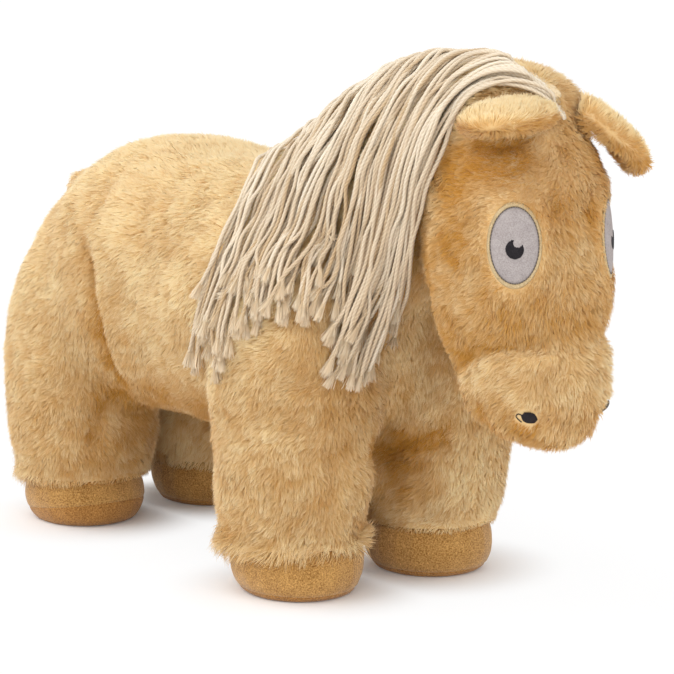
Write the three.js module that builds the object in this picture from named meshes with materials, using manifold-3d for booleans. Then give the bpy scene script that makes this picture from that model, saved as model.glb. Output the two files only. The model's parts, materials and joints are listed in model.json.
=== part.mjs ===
import * as THREE from 'three';
import { mergeVertices } from 'three/addons/utils/BufferGeometryUtils.js';
import Module from 'manifold-3d';

// A standing plush horse, in millimetres. +X is the horse's front, +Y its left side, +Z up.
// The long pile is part of every stuffed form: each form's surface lies halfway up the pile.
// Larger forms cut the smaller ones sewn to them, and every seam keeps the same small gap.

const wasm = await Module();
wasm.setup();

// Driving dimensions

const seamGap = 0.3;

const barrelLength = 308;
const barrelWidth = 166;
const barrelHeight = 156;
const bellyHeight = 70;
const rumpReach = 163;
const barrelFront = barrelLength - rumpReach;

const stanceWidth = 89;
const forelegSetback = 37.5;
const hindlegSetback = 55.5;

const neckLength = 196;
const neckWidth = 128;
const neckDepth = 132;
const neckSetback = 99;
const neckRootZ = 166;
const neckSlope = THREE.MathUtils.degToRad(23);

const headHeight = 176;
const headWidth = 87;
const headDepth = 98;
const headReach = 85;
const headTopX = barrelFront + headReach;
const headTopZ = 285;
const faceLean = 16;

const muzzleHeight = 56;
const muzzleWidth = 72;
const muzzleDepth = 73;
const muzzleAhead = 20;
const muzzleX = headTopX + muzzleAhead;
const muzzleBottomZ = 100;

const legWidth = 84;
const legDepth = 88;
const forelegTopZ = 190;
const hindlegTopZ = 200;

const hoofWidth = 68;
const hoofDepth = 74;
const hoofHeight = 28;
const soleHeight = 3.5;
const tippedSole = THREE.MathUtils.degToRad(9);

const earLength = 44;
const earWidth = 44;
const earDepth = 19;
const earGrooveWidth = 24;
const earGrooveDepth = 9;
const earRootReach = 15;
const earRootAhead = 21;
const earRootX = headTopX + earRootAhead;
const earRootZ = 263;
const earHingeReach = 29;
const earForward = THREE.MathUtils.degToRad(26);
const earDroop = THREE.MathUtils.degToRad(20);
const earLift = THREE.MathUtils.degToRad(12);
const earSwingGap = 1;

const eyeWidth = 25;
const eyeHeight = 40;
const eyeThickness = 1.2;
const eyeZ = 202;
const eyeTurn = THREE.MathUtils.degToRad(39);
const rimWidth = 1.6;
const rimThickness = 1.8;
const pupilWidth = 9;
const pupilHeight = 9.6;
const pupilDrop = 1.7;
const glintWidth = 4.8;
const glintRise = 3;
const glintTurn = THREE.MathUtils.degToRad(2.4);
const pupilThickness = 0.8;

const nostrilWidth = 10;
const nostrilHeight = 7;
const nostrilThickness = 1.2;
const nostrilZ = 117;
const nostrilTurn = THREE.MathUtils.degToRad(46);

const tapeWidth = 9;
const tapeThickness = 2;
const lockThickness = 7;
const lockWidth = 20;
const lockCount = 17;
const lockLift = 1.2;

const dockZ = 184;
const tailLength = 166;
const tailWidth = 78;
const tailDepth = 24;
const tailRidge = 2;
const tailRidges = 13;
const bindingWidth = 32;
const bindingHeight = 12;
const bindingDepth = 18;

// Finishes

const finishes = {
  pile: { color: 0xd9aa62, roughness: 0.95 },
  suede: { color: 0xb98546, roughness: 0.9 },
  sole: { color: 0x9c6a30, roughness: 0.9 },
  yarn: { color: 0xdccbb0, roughness: 0.85 },
  tape: { color: 0xcdb894, roughness: 0.9 },
  eyeFelt: { color: 0xc9c7c8, roughness: 0.75 },
  rimThread: { color: 0x8c8678, roughness: 0.6 },
  blackThread: { color: 0x1c1a19, roughness: 0.55 },
};

const UP = new THREE.Vector3(0, 0, 1);
const LEFT = new THREE.Vector3(0, 1, 0);
const FORWARD = new THREE.Vector3(1, 0, 0);
const RIGHT_SIDE = -1;
const LEFT_SIDE = 1;

// Solids

// A closed skin over rings that all have as many points, with a fan over each end ring.
function skinOver(rings) {
  const count = rings[0].length;
  const points = rings.flat();
  const index = [];
  for (let r = 0; r < rings.length - 1; r += 1) {
    for (let i = 0; i < count; i += 1) {
      const a = r * count + i;
      const b = r * count + ((i + 1) % count);
      index.push(a, b, b + count, a, b + count, a + count);
    }
  }
  for (const end of [0, rings.length - 1]) {
    const middle = points.length;
    const centre = new THREE.Vector3();
    for (const point of rings[end]) centre.addScaledVector(point, 1 / count);
    points.push(centre);
    for (let i = 0; i < count; i += 1) {
      const a = end * count + i;
      const b = end * count + ((i + 1) % count);
      index.push(...(end === 0 ? [middle, b, a] : [middle, a, b]));
    }
  }
  const geometry = new THREE.BufferGeometry().setFromPoints(points);
  geometry.setIndex(index);
  return geometry;
}

function solid(geometry) {
  const bare = geometry.clone();
  for (const name of ['normal', 'uv']) bare.deleteAttribute(name);
  const merged = mergeVertices(bare);
  const body = new wasm.Manifold(new wasm.Mesh({
    numProp: 3,
    vertProperties: new Float32Array(merged.attributes.position.array),
    triVerts: new Uint32Array(merged.index.array),
  }));
  return body.volume() < 0 ? turnedOut(merged) : body;
}

// The same skin with each triangle wound the other way, so that it faces out.
function turnedOut(merged) {
  const index = [...merged.index.array];
  for (let i = 0; i < index.length; i += 3) [index[i], index[i + 1]] = [index[i + 1], index[i]];
  merged.setIndex(index);
  return solid(merged);
}

function geometryOf(body) {
  const mesh = body.getMesh();
  const geometry = new THREE.BufferGeometry();
  geometry.setAttribute('position', new THREE.BufferAttribute(mesh.vertProperties, mesh.numProp));
  geometry.setIndex(new THREE.BufferAttribute(mesh.triVerts, 1));
  return geometry;
}

// The largest connected body of a cut, without the slivers that a cut can leave.
function mainBody(body) {
  return body.decompose().sort((a, b) => b.volume() - a.volume())[0];
}

// Stuffed forms

// One ring: a rounded outline round a centre, from circle (2) to rounded square (3 and over).
function outline(centre, side, depth, halfWidth, halfDepth, squareness, sides) {
  return Array.from({ length: sides }, (_, i) => {
    const turn = (2 * Math.PI * i) / sides;
    const soften = (value) => Math.sign(value) * Math.abs(value) ** (2 / squareness);
    return centre.clone()
      .addScaledVector(side, soften(Math.cos(turn)) * halfWidth)
      .addScaledVector(depth, soften(Math.sin(turn)) * halfDepth);
  });
}

// A form that swells and tapers along its stations, each { at, width, depth, square }.
// A cap rounds off each end: { length, flat }, where flat is the share of the ring left flat.
// An end without a cap is cut off square.
function stuffed({ stations, caps, sides = 22, steps = 10, across = LEFT }, grow = 0) {
  const spine = new THREE.CatmullRomCurve3(stations.map((s) => s.at));
  const girth = new THREE.CatmullRomCurve3(
    stations.map((s) => new THREE.Vector3(s.width / 2, s.depth / 2, s.square)),
  );
  const ringAt = (t, outward, share) => {
    const along = spine.getTangent(t);
    const side = across.clone().addScaledVector(along, -across.dot(along)).normalize();
    const depth = new THREE.Vector3().crossVectors(along, side);
    const size = girth.getPoint(t);
    const centre = spine.getPoint(t).addScaledVector(along, outward);
    return outline(centre, side, depth, (size.x + grow) * share, (size.y + grow) * share, size.z, sides);
  };
  const capOf = (cap, t, sign) => (cap ? capTurns(cap.flat) : []).map((turn) => (
    ringAt(t, sign * (cap.length + grow) * Math.sin(turn), cap.flat + (1 - cap.flat) * Math.cos(turn))
  ));
  const middle = Array.from({ length: steps + 1 }, (_, i) => {
    const squareEnd = (i === 0 && !caps[0] && -grow) || (i === steps && !caps[1] && grow) || 0;
    return ringAt(i / steps, squareEnd, 1);
  });
  return skinOver([...capOf(caps[0], 0, -1).reverse(), ...middle, ...capOf(caps[1], 1, 1)]);
}

// The turns at which a cap has its rings: a flat cap ends in a disc, a round one close to its pole.
const capPoleShare = 0.35;

function capTurns(flat, rings = 4) {
  const last = flat ? rings : rings + capPoleShare;
  return Array.from({ length: rings }, (_, i) => (Math.PI / 2) * ((i + 1) / last));
}

const clearance = (form) => solid(stuffed(form, seamGap));

// Barrel: rows of place along it, height of the middle, width, depth and squareness

const barrelShares = [
  [0.10, 0.50, 0.70, 0.68, 2.1],
  [0.22, 0.49, 0.93, 0.93, 2.2],
  [0.38, 0.50, 1.00, 1.00, 2.2],
  [0.55, 0.49, 0.97, 0.97, 2.2],
  [0.72, 0.49, 0.97, 0.98, 2.2],
  [0.86, 0.50, 0.86, 0.90, 2.2],
];
const barrelCapShares = [0.10, 0.13];
const barrelRear = -rumpReach;
const barrel = {
  stations: barrelShares.map(([along, rise, width, depth, square]) => ({
    at: new THREE.Vector3(barrelRear + barrelLength * along, 0, bellyHeight + barrelHeight * rise),
    width: barrelWidth * width,
    depth: barrelHeight * depth,
    square,
  })),
  caps: barrelCapShares.map((share) => ({ length: barrelLength * share, flat: 0 })),
  sides: 28,
  steps: 12,
};

// Neck: rows of place along it, lift off the straight slope, width, depth and squareness

const neckShares = [
  [0.00, -0.02, 0.96, 0.84, 2.1],
  [0.28, -0.01, 0.92, 0.86, 2.1],
  [0.54, 0.04, 0.80, 0.81, 2.1],
  [0.78, 0.05, 0.70, 0.76, 2.1],
  [1.00, 0.00, 0.58, 0.62, 2.1],
];
const neckCapShare = 0.12;
const neckAlong = new THREE.Vector3(Math.cos(neckSlope), 0, Math.sin(neckSlope));
const neckRise = new THREE.Vector3(-Math.sin(neckSlope), 0, Math.cos(neckSlope));
const neck = {
  stations: neckShares.map(([along, lift, width, depth, square]) => ({
    at: new THREE.Vector3(barrelFront - neckSetback, 0, neckRootZ)
      .addScaledVector(neckAlong, neckLength * along)
      .addScaledVector(neckRise, neckLength * lift),
    width: neckWidth * width,
    depth: neckDepth * depth,
    square,
  })),
  caps: [0, 1].map(() => ({ length: neckLength * neckCapShare, flat: 0 })),
};

// Head: rows of drop below its top, forward lean, width, depth and squareness

const headShares = [
  [0.14, 0.00, 0.80, 0.74, 2.2],
  [0.30, 0.04, 0.96, 0.93, 2.3],
  [0.48, 0.16, 1.00, 1.00, 2.4],
  [0.66, 0.42, 0.92, 0.93, 2.4],
  [0.80, 0.80, 0.80, 0.80, 2.4],
  [0.90, 1.00, 0.70, 0.66, 2.4],
];
const headCapShares = [0.12, 0.06];
const head = {
  stations: headShares.map(([drop, lean, width, depth, square]) => ({
    at: new THREE.Vector3(headTopX + faceLean * lean, 0, headTopZ - headHeight * drop),
    width: headWidth * width,
    depth: headDepth * depth,
    square,
  })),
  caps: headCapShares.map((share) => ({ length: headHeight * share, flat: 0 })),
};

// Muzzle: rows of height, backward shift, width, depth and squareness

const muzzleShares = [
  [0.28, 0.04, 0.90, 0.90, 2.6],
  [0.50, 0.01, 1.00, 1.00, 2.7],
  [0.72, 0.00, 1.00, 1.00, 2.7],
  [0.86, 0.02, 0.96, 0.96, 2.6],
];
const muzzleCapShares = [0.28, 0.14];
const muzzle = {
  stations: muzzleShares.map(([rise, back, width, depth, square]) => ({
    at: new THREE.Vector3(muzzleX - muzzleDepth * back, 0, muzzleBottomZ + muzzleHeight * rise),
    width: muzzleWidth * width,
    depth: muzzleDepth * depth,
    square,
  })),
  caps: muzzleCapShares.map((share) => ({ length: muzzleHeight * share, flat: 0 })),
  steps: 8,
};

// Legs: rows of rise from the hoof seam to the top, lean fore and aft and sideways, width, depth

const forelegShares = [
  [0.03, 0.00, 0.00, 0.98, 0.98, 2.1],
  [0.18, 0.00, 0.00, 1.01, 1.00, 2.1],
  [0.42, 0.01, 0.02, 1.02, 1.04, 2.1],
  [0.68, 0.03, 0.04, 0.98, 1.10, 2.1],
  [0.90, 0.02, -0.10, 0.70, 0.98, 2.1],
];
const hindlegShares = [
  [0.03, 0.00, 0.00, 0.98, 0.98, 2.1],
  [0.16, 0.00, 0.00, 1.02, 1.04, 2.1],
  [0.40, 0.00, 0.02, 1.02, 1.12, 2.1],
  [0.66, 0.06, 0.00, 0.90, 1.06, 2.1],
  [0.90, 0.18, -0.18, 0.60, 0.80, 2.1],
];
const legCapShares = [0.04, 0.12];
const legFootFlatShare = 0.86;

function leg(shares, x, side, topZ) {
  const rise = topZ - hoofHeight - seamGap;
  return {
    stations: shares.map(([up, fore, out, width, depth, square]) => ({
      at: new THREE.Vector3(
        x + legDepth * fore,
        side * (stanceWidth / 2 + legWidth * out),
        hoofHeight + seamGap + rise * (up + legCapShares[0] - shares[0][0]),
      ),
      width: legWidth * width,
      depth: legDepth * depth,
      square,
    })),
    caps: [
      { length: rise * legCapShares[0], flat: legFootFlatShare },
      { length: rise * legCapShares[1], flat: 0 },
    ],
    sides: 20,
    steps: 8,
  };
}

// Hooves: a squat suede foot, and under it a sole panel that a sloping seam parts from it

const hoofRiseShares = [0.32, 0.60, 1];
const hoofGirthShares = [0.98, 1.00, 0.93];
const soleFlatShare = 0.74;

function hoofBlock(x, side) {
  return solid(stuffed({
    stations: hoofRiseShares.map((rise, i) => ({
      at: new THREE.Vector3(x, side * (stanceWidth / 2), hoofHeight * rise),
      width: hoofWidth * hoofGirthShares[i],
      depth: hoofDepth * hoofGirthShares[i],
      square: 2.1,
    })),
    caps: [{ length: hoofHeight * hoofRiseShares[0], flat: soleFlatShare }, null],
    sides: 20,
    steps: 3,
  }));
}

// Everything under a sole seam, which rises from the heel towards the toe by the tilt.
function underSeam(x, side, tilt, lift) {
  const slab = new THREE.BoxGeometry(hoofDepth * 2, hoofWidth * 2, hoofHeight * 2);
  slab.translate(0, 0, -hoofHeight);
  slab.applyMatrix4(new THREE.Matrix4().makeRotationY(-tilt));
  slab.translate(x, side * (stanceWidth / 2), soleHeight + (Math.sin(tilt) * hoofDepth) / 2 + lift);
  return solid(slab);
}

// Patches that lie on a form: a flat shape pressed through the layer between two offsets

function patchOn(form, shape, { z, turn, side, lean = 0 }, from, to) {
  const spine = new THREE.CatmullRomCurve3(form.stations.map((s) => s.at));
  const middle = spine.getPoints(40).sort((a, b) => Math.abs(a.z - z) - Math.abs(b.z - z))[0];
  const out = new THREE.Vector3(Math.cos(turn), side * Math.sin(turn), 0);
  const across = new THREE.Vector3().crossVectors(UP, out);
  const prism = new THREE.ExtrudeGeometry(shape, {
    depth: headDepth, bevelEnabled: false, curveSegments: 8,
  });
  prism.rotateZ(-side * lean);
  prism.applyMatrix4(new THREE.Matrix4().makeBasis(across, UP, out).setPosition(middle.x, 0, z));
  const layer = solid(stuffed(form, to)).subtract(solid(stuffed(form, from)));
  return mainBody(solid(prism).intersect(layer));
}

function oval(width, height) {
  return new THREE.Shape().absellipse(0, 0, width / 2, height / 2, 0, 2 * Math.PI);
}

function ovalRing(width, height, band) {
  const ring = oval(width + 2 * band, height + 2 * band);
  ring.holes.push(new THREE.Path().absellipse(0, 0, width / 2, height / 2, 0, 2 * Math.PI, true));
  return ring;
}

// Ears: a leaf that tapers to a soft tip, folded lengthwise round a groove that opens downwards

const earGirthShares = [
  [0.00, 1.00],
  [0.30, 1.00],
  [0.60, 0.90],
  [0.82, 0.68],
  [0.94, 0.42],
];
const earGrooveShares = [
  [0.20, 0.90],
  [0.45, 1.00],
  [0.65, 0.85],
  [0.80, 0.50],
];
const earGrooveShiftShare = 0.30;
const earTipShare = 0.08;

function leaf(shares, { root, along, opening }, { width, depth, shift }, grow = 0) {
  return stuffed({
    stations: shares.map(([out, girth]) => ({
      at: root.clone().addScaledVector(along, earLength * out).addScaledVector(opening, shift),
      width: width * girth,
      depth: depth * girth,
      square: 2,
    })),
    caps: [null, { length: earLength * earTipShare, flat: 0 }],
    sides: 14,
    steps: 6,
    across: new THREE.Vector3().crossVectors(along, opening).normalize(),
  }, grow);
}

// All that a form covers as it turns about an ear's hinge, in steps from one angle to another.
function swept(geometryAt, { pivot, axis }, from, to) {
  const steps = 8;
  return Array.from({ length: steps + 1 }, (_, i) => {
    const geometry = geometryAt();
    geometry.translate(-pivot.x, -pivot.y, -pivot.z);
    geometry.applyMatrix4(new THREE.Matrix4().makeRotationAxis(axis, from + ((to - from) * i) / steps));
    geometry.translate(pivot.x, pivot.y, pivot.z);
    return solid(geometry);
  }).reduce((all, one) => all.add(one));
}

// The head as an ear meets it through its swing, so that the folded root has room to flop.
function headRoundHinge(hinge) {
  return swept(() => stuffed(head, seamGap), hinge, earLift, -earDroop);
}

// The room that an ear needs to swing in, which the mane leaves free.
function earRoom(hinge, frame) {
  const sizes = { width: earWidth, depth: earDepth, shift: 0 };
  return swept(() => leaf(earGirthShares, frame, sizes, earSwingGap), hinge, -earLift, earDroop);
}

// The hinge lies along the root seam, and a positive turn lets the ear droop.
function earHinge(side) {
  return {
    pivot: new THREE.Vector3(earRootX, side * earHingeReach, earRootZ),
    axis: new THREE.Vector3(-side * Math.cos(earForward), Math.sin(earForward), 0),
  };
}

function earFrame(side, { rise, turn }) {
  const along = new THREE.Vector3(Math.sin(earForward), side * Math.cos(earForward), 0)
    .multiplyScalar(Math.cos(rise)).addScaledVector(UP, Math.sin(rise));
  const opening = new THREE.Vector3(Math.sin(turn), 0, -Math.cos(turn));
  opening.addScaledVector(along, -opening.dot(along)).normalize();
  return { root: new THREE.Vector3(earRootX, side * earRootReach, earRootZ), along, opening };
}

function ear(frame) {
  const outer = solid(leaf(earGirthShares, frame, { width: earWidth, depth: earDepth, shift: 0 }));
  const groove = solid(leaf(earGrooveShares, frame, {
    width: earGrooveWidth, depth: earGrooveDepth, shift: earDepth * earGrooveShiftShare,
  }));
  return outer.subtract(groove);
}

// Mane: locks sewn along the crest, combed back and falling down the right side

// Rows of place along the guide at the root, place at the tip, and turn at the tip in half turns.
const lockShares = [
  [0.12, 0.05, 0.66],
  [0.34, 0.27, 0.73],
  [0.57, 0.40, 0.80],
  [0.78, 0.58, 0.86],
];
const lockReachShares = [1, 0.93, 0.98, 0.88];
const lockSweep = 1.6;
const lockFall = 1.15;
const tapeFade = 8;
const lockTaperShares = [0.62, 0.90, 1, 1, 0.95, 0.7, 0.3];
const guideDropShares = [0.42, 0.62];
const guideLeanShares = [0.10, 0.28];

// A line inside the neck and head, from which the coat is seen all round.
const maneGuide = new THREE.CatmullRomCurve3([
  ...neck.stations.slice(0, 4).map((s) => s.at),
  ...guideDropShares.map((drop, i) => new THREE.Vector3(
    headTopX + headDepth * guideLeanShares[i], 0, headTopZ - headHeight * drop,
  )),
]);

function rowAt(rows, share) {
  return new THREE.CatmullRomCurve3(rows.map((row) => new THREE.Vector3(...row))).getPoint(share);
}

// Finds the coat as seen from the guide, at a turn down the right side from the crest.
function coatFinder(body) {
  const skin = new THREE.Mesh(geometryOf(body), new THREE.MeshBasicMaterial({ side: THREE.DoubleSide }));
  const caster = new THREE.Raycaster();
  return (along, turn) => {
    const crest = new THREE.Vector3().crossVectors(maneGuide.getTangent(along), LEFT).normalize();
    const out = crest.multiplyScalar(Math.cos(turn)).addScaledVector(LEFT, -Math.sin(turn));
    caster.set(maneGuide.getPoint(along), out);
    const hits = caster.intersectObject(skin);
    return { at: hits[hits.length - 1].point, out };
  };
}

// A closed strip along a path of coat points: each ring is { at, out, width, thickness }.
function strip(path, sides) {
  const spine = new THREE.CatmullRomCurve3(path.map((p) => p.at));
  return skinOver(path.map(({ at, out, width, thickness }, i) => {
    const tangent = spine.getTangent(i / (path.length - 1));
    const side = new THREE.Vector3().crossVectors(tangent, out).normalize();
    const depth = new THREE.Vector3().crossVectors(side, tangent);
    return outline(at, side, depth, width / 2, thickness / 2, 2, sides);
  }));
}

// A flat, tapering lock: out along the crest at first, then down over the side.
function lock(findCoat, share, reach) {
  const row = rowAt(lockShares, share);
  const steps = 8;
  return strip(Array.from({ length: steps + 1 }, (_, i) => {
    const way = i / steps;
    const along = row.x + (row.y - row.x) * (1 - (1 - way * reach) ** lockSweep);
    const coat = findCoat(along, Math.PI * row.z * (way * reach) ** lockFall);
    const overTape = (tapeThickness + seamGap) * (1 - way) ** tapeFade;
    const girth = rowAt(lockTaperShares.map((taper) => [taper, 0, 0]), way).x;
    return {
      at: coat.at.clone().addScaledVector(coat.out, seamGap + lockLift + lockThickness / 2 + overTape),
      out: coat.out,
      width: lockWidth * girth,
      thickness: lockThickness * Math.sqrt(girth),
    };
  }), 5);
}

function crestStrip(findCoat, width, thickness, lift, sides) {
  const steps = 18;
  const [first, last] = [lockShares[0][0], lockShares[lockShares.length - 1][0]];
  return strip(Array.from({ length: steps + 1 }, (_, i) => {
    const coat = findCoat(first + ((last - first) * i) / steps, 0);
    return { at: coat.at.addScaledVector(coat.out, lift + thickness / 2), out: coat.out, width, thickness };
  }), sides);
}

// Tail: a ridged bundle of yarn that hangs from the dock behind the rump

// Rows of drop, distance behind the dock, swing to the left, width and depth.
const tailShares = [
  [0.00, 0.00, 0.00, 0.34, 0.60],
  [0.15, 0.45, 0.01, 0.50, 0.85],
  [0.35, 0.62, 0.04, 0.68, 1.00],
  [0.65, 0.40, 0.10, 0.90, 1.00],
  [0.88, 0.10, 0.16, 1.00, 0.90],
  [1.00, 0.00, 0.18, 0.92, 0.60],
];

const bindingOutShare = 0.35;
const bindingGirthShares = [1, 1.04, 0.92];

// How far back the rump reaches at a height.
function rumpAt(body, z) {
  const skin = new THREE.Mesh(geometryOf(body), new THREE.MeshBasicMaterial({ side: THREE.DoubleSide }));
  const caster = new THREE.Raycaster(new THREE.Vector3(0, 0, z), FORWARD.clone().negate());
  const hits = caster.intersectObject(skin);
  return hits[hits.length - 1].point.x;
}

// The wrapped thread at the dock, above the gap where the loose yarn begins.
function tailBinding(dock) {
  return solid(stuffed({
    stations: bindingGirthShares.map((girth, i) => ({
      at: dock.clone().addScaledVector(UP, seamGap + (bindingHeight * i) / bindingGirthShares.length),
      width: bindingWidth * girth,
      depth: bindingDepth * girth,
      square: 2.2,
    })),
    caps: [null, { length: bindingHeight / bindingGirthShares.length, flat: bindingOutShare }],
    sides: 20,
    steps: 3,
  }));
}

function tailBundle(dock) {
  const sides = tailRidges * 3;
  const rings = tailShares.map(([drop, back, swing, width, depth]) => {
    const centre = dock.clone().add(new THREE.Vector3(-tailDepth * back, tailWidth * swing, -tailLength * drop));
    return Array.from({ length: sides }, (_, i) => {
      const turn = (2 * Math.PI * i) / sides;
      const ridge = tailRidge * Math.cos(tailRidges * turn);
      return centre.clone()
        .addScaledVector(LEFT, Math.cos(turn) * ((tailWidth * width) / 2 + ridge))
        .addScaledVector(FORWARD, Math.sin(turn) * ((tailDepth * depth) / 2 + ridge));
    });
  });
  return skinOver(rings);
}

// Assembly

const horse = new THREE.Group();

function place(name, body, finish) {
  const mesh = new THREE.Mesh(geometryOf(body), new THREE.MeshStandardMaterial(finishes[finish]));
  mesh.name = name;
  horse.add(mesh);
  return body;
}

const barrelSkin = clearance(barrel);
const neckSkin = clearance(neck);
const headSkin = clearance(head);

place('body', solid(stuffed(barrel)), 'pile');
place('neck', mainBody(solid(stuffed(neck)).subtract(barrelSkin)), 'pile');
place('head', mainBody(solid(stuffed(head)).subtract(neckSkin)), 'pile');
place('muzzle', mainBody(solid(stuffed(muzzle)).subtract(headSkin).subtract(neckSkin)), 'pile');

let coat = barrelSkin.add(neckSkin).add(headSkin);
for (const [sideName, side] of [['right', RIGHT_SIDE], ['left', LEFT_SIDE]]) {
  for (const [legName, x, shares, topZ] of [
    ['foreleg', barrelFront - forelegSetback, forelegShares, forelegTopZ],
    ['hindleg', hindlegSetback - rumpReach, hindlegShares, hindlegTopZ],
  ]) {
    const form = leg(shares, x, side, topZ);
    place(`${legName}_${sideName}`, mainBody(solid(stuffed(form)).subtract(barrelSkin).subtract(neckSkin)), 'pile');
    coat = coat.add(clearance(form));

    const tilt = legName === 'hindleg' && side === RIGHT_SIDE ? tippedSole : 0;
    const block = hoofBlock(x, side);
    place(`hoof_${legName}_${sideName}`, block.subtract(underSeam(x, side, tilt, seamGap)), 'suede');
    place(`sole_${legName}_${sideName}`, block.intersect(underSeam(x, side, tilt, 0)), 'sole');
  }
}

const earPose = {
  right: { rise: THREE.MathUtils.degToRad(-3), turn: THREE.MathUtils.degToRad(6) },
  left: { rise: THREE.MathUtils.degToRad(-30), turn: THREE.MathUtils.degToRad(23.5) },
};
const earRooms = [];
for (const [sideName, side] of [['right', RIGHT_SIDE], ['left', LEFT_SIDE]]) {
  const eyeAt = { z: eyeZ, turn: eyeTurn, side };
  const pupilAt = { ...eyeAt, z: eyeZ - pupilDrop };
  const glintAt = { ...eyeAt, z: pupilAt.z + glintRise, turn: eyeTurn - glintTurn };
  const nostrilAt = { z: nostrilZ, turn: nostrilTurn, side };
  const pupilFrom = eyeThickness + 2 * seamGap;
  place(`eye_${sideName}`, patchOn(head, oval(eyeWidth, eyeHeight), eyeAt, seamGap, seamGap + eyeThickness), 'eyeFelt');
  place(`eye_rim_${sideName}`, patchOn(
    head, ovalRing(eyeWidth + 2 * seamGap, eyeHeight + 2 * seamGap, rimWidth), eyeAt, seamGap, seamGap + rimThickness,
  ), 'rimThread');
  const pupil = patchOn(head, oval(pupilWidth, pupilHeight), pupilAt, pupilFrom, pupilFrom + pupilThickness);
  const glint = patchOn(head, oval(glintWidth, glintWidth), glintAt, eyeThickness, pupilFrom + 2 * pupilThickness);
  place(`pupil_${sideName}`, mainBody(pupil.subtract(glint)), 'blackThread');
  place(`nostril_${sideName}`, patchOn(
    muzzle, oval(nostrilWidth, nostrilHeight), nostrilAt, seamGap, seamGap + nostrilThickness,
  ), 'blackThread');

  const hinge = earHinge(side);
  const frame = earFrame(side, earPose[sideName]);
  place(`ear_${sideName}`, mainBody(ear(frame).subtract(headRoundHinge(hinge)).subtract(neckSkin)), 'pile');
  earRooms.push(earRoom(hinge, frame));
}

const findCoat = coatFinder(coat);
const tapeBody = solid(crestStrip(findCoat, tapeWidth, tapeThickness, seamGap, 8)).subtract(coat);
place('mane_tape', mainBody(tapeBody), 'tape');
const tapeSkin = solid(crestStrip(findCoat, tapeWidth + 2 * seamGap, tapeThickness + 2 * seamGap, 0, 8));
let mane = solid(crestStrip(findCoat, lockThickness, lockThickness, tapeThickness / 2, 8));
for (let i = 0; i < lockCount; i += 1) {
  const reach = lockReachShares[i % lockReachShares.length];
  mane = mane.add(solid(lock(findCoat, i / (lockCount - 1), reach)));
}
for (const taken of [coat, tapeSkin, ...earRooms]) mane = mane.subtract(taken);
place('mane', mainBody(mane), 'yarn');

const dock = new THREE.Vector3(rumpAt(coat, dockZ) - bindingDepth * bindingOutShare, 0, dockZ);
place('tail_binding', mainBody(tailBinding(dock).subtract(coat)), 'tape');
place('tail', mainBody(solid(tailBundle(dock)).subtract(coat)), 'yarn');

const bounds = new THREE.Box3().setFromObject(horse);
const middle = bounds.getCenter(new THREE.Vector3());
horse.position.set(-middle.x, -middle.y, -bounds.min.z);

export default horse;
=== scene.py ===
# %% [markdown]
# # A plush horse in a long coat
# The real toy is a stuffed skin of deep plush cloth, with a yarn mane, a yarn tail, felt eyes and
# suede feet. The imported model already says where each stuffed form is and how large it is. Every
# piece below is a dressed copy that keeps to those places: a soft skin first, then the pile that
# grows from it, then the yarn and the small sewn parts.

# %% The frame, and the units
import json
import math

import bmesh
import bpy
import numpy as np
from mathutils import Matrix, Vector
from mathutils.bvhtree import BVHTree
from mathutils.kdtree import KDTree


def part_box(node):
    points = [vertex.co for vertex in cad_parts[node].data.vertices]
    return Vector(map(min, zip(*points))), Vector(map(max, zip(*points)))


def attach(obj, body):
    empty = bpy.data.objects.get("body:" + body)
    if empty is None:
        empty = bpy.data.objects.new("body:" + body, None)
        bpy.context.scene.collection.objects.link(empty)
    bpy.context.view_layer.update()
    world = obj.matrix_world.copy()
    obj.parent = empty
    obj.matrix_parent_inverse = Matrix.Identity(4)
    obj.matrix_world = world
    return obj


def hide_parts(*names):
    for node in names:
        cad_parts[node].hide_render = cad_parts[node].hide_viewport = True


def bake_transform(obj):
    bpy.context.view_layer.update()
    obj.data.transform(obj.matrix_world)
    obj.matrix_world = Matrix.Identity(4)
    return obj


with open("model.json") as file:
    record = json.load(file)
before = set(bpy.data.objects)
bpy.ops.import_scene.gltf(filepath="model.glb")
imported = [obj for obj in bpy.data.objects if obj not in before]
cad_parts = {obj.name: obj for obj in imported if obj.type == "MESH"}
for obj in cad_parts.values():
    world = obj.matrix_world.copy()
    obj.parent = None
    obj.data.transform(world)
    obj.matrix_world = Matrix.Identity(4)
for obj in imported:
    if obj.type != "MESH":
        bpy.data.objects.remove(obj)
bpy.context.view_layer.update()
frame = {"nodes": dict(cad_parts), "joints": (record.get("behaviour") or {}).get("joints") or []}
nodes = frame["nodes"]
MM = 0.001
TORSO = "torso"

# %% [markdown]
# ## The camera
# The picture was taken with a long lens from a little above the horse's eyes, in front of its right
# shoulder. A camera can be placed by guess and eye, or by its distance and angles round a point that
# it looks at. Angles are used here, because they can be measured on the picture: lines that run away
# from the lens give the azimuth, and the size of the near and far feet gives the distance.

# %% Camera
AIM = Vector((0.0345, 0.0025, 0.1290))
AZIMUTH, ELEVATION = math.radians(53.18), math.radians(9.61)
DISTANCE = 1.550
LENS, SENSOR = 152.2, 36.0
PICTURE_SIDE = 674


def towards(azimuth, elevation):
    """The direction from the object to a camera at these angles."""
    level = math.cos(elevation)
    return Vector((math.sin(azimuth) * level, -math.cos(azimuth) * level, math.sin(elevation)))


camera_data = bpy.data.cameras.new("camera")
camera_data.lens, camera_data.sensor_width = LENS, SENSOR
camera_data.clip_end = 50
camera = bpy.data.objects.new("camera", camera_data)
bpy.context.scene.collection.objects.link(camera)
bpy.context.scene.camera = camera
view_back = towards(AZIMUTH, ELEVATION)
camera.location = AIM + view_back * DISTANCE
camera.rotation_euler = view_back.to_track_quat("Z", "Y").to_euler()
print("the camera stands at", [round(c, 3) for c in camera.location])


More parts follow.
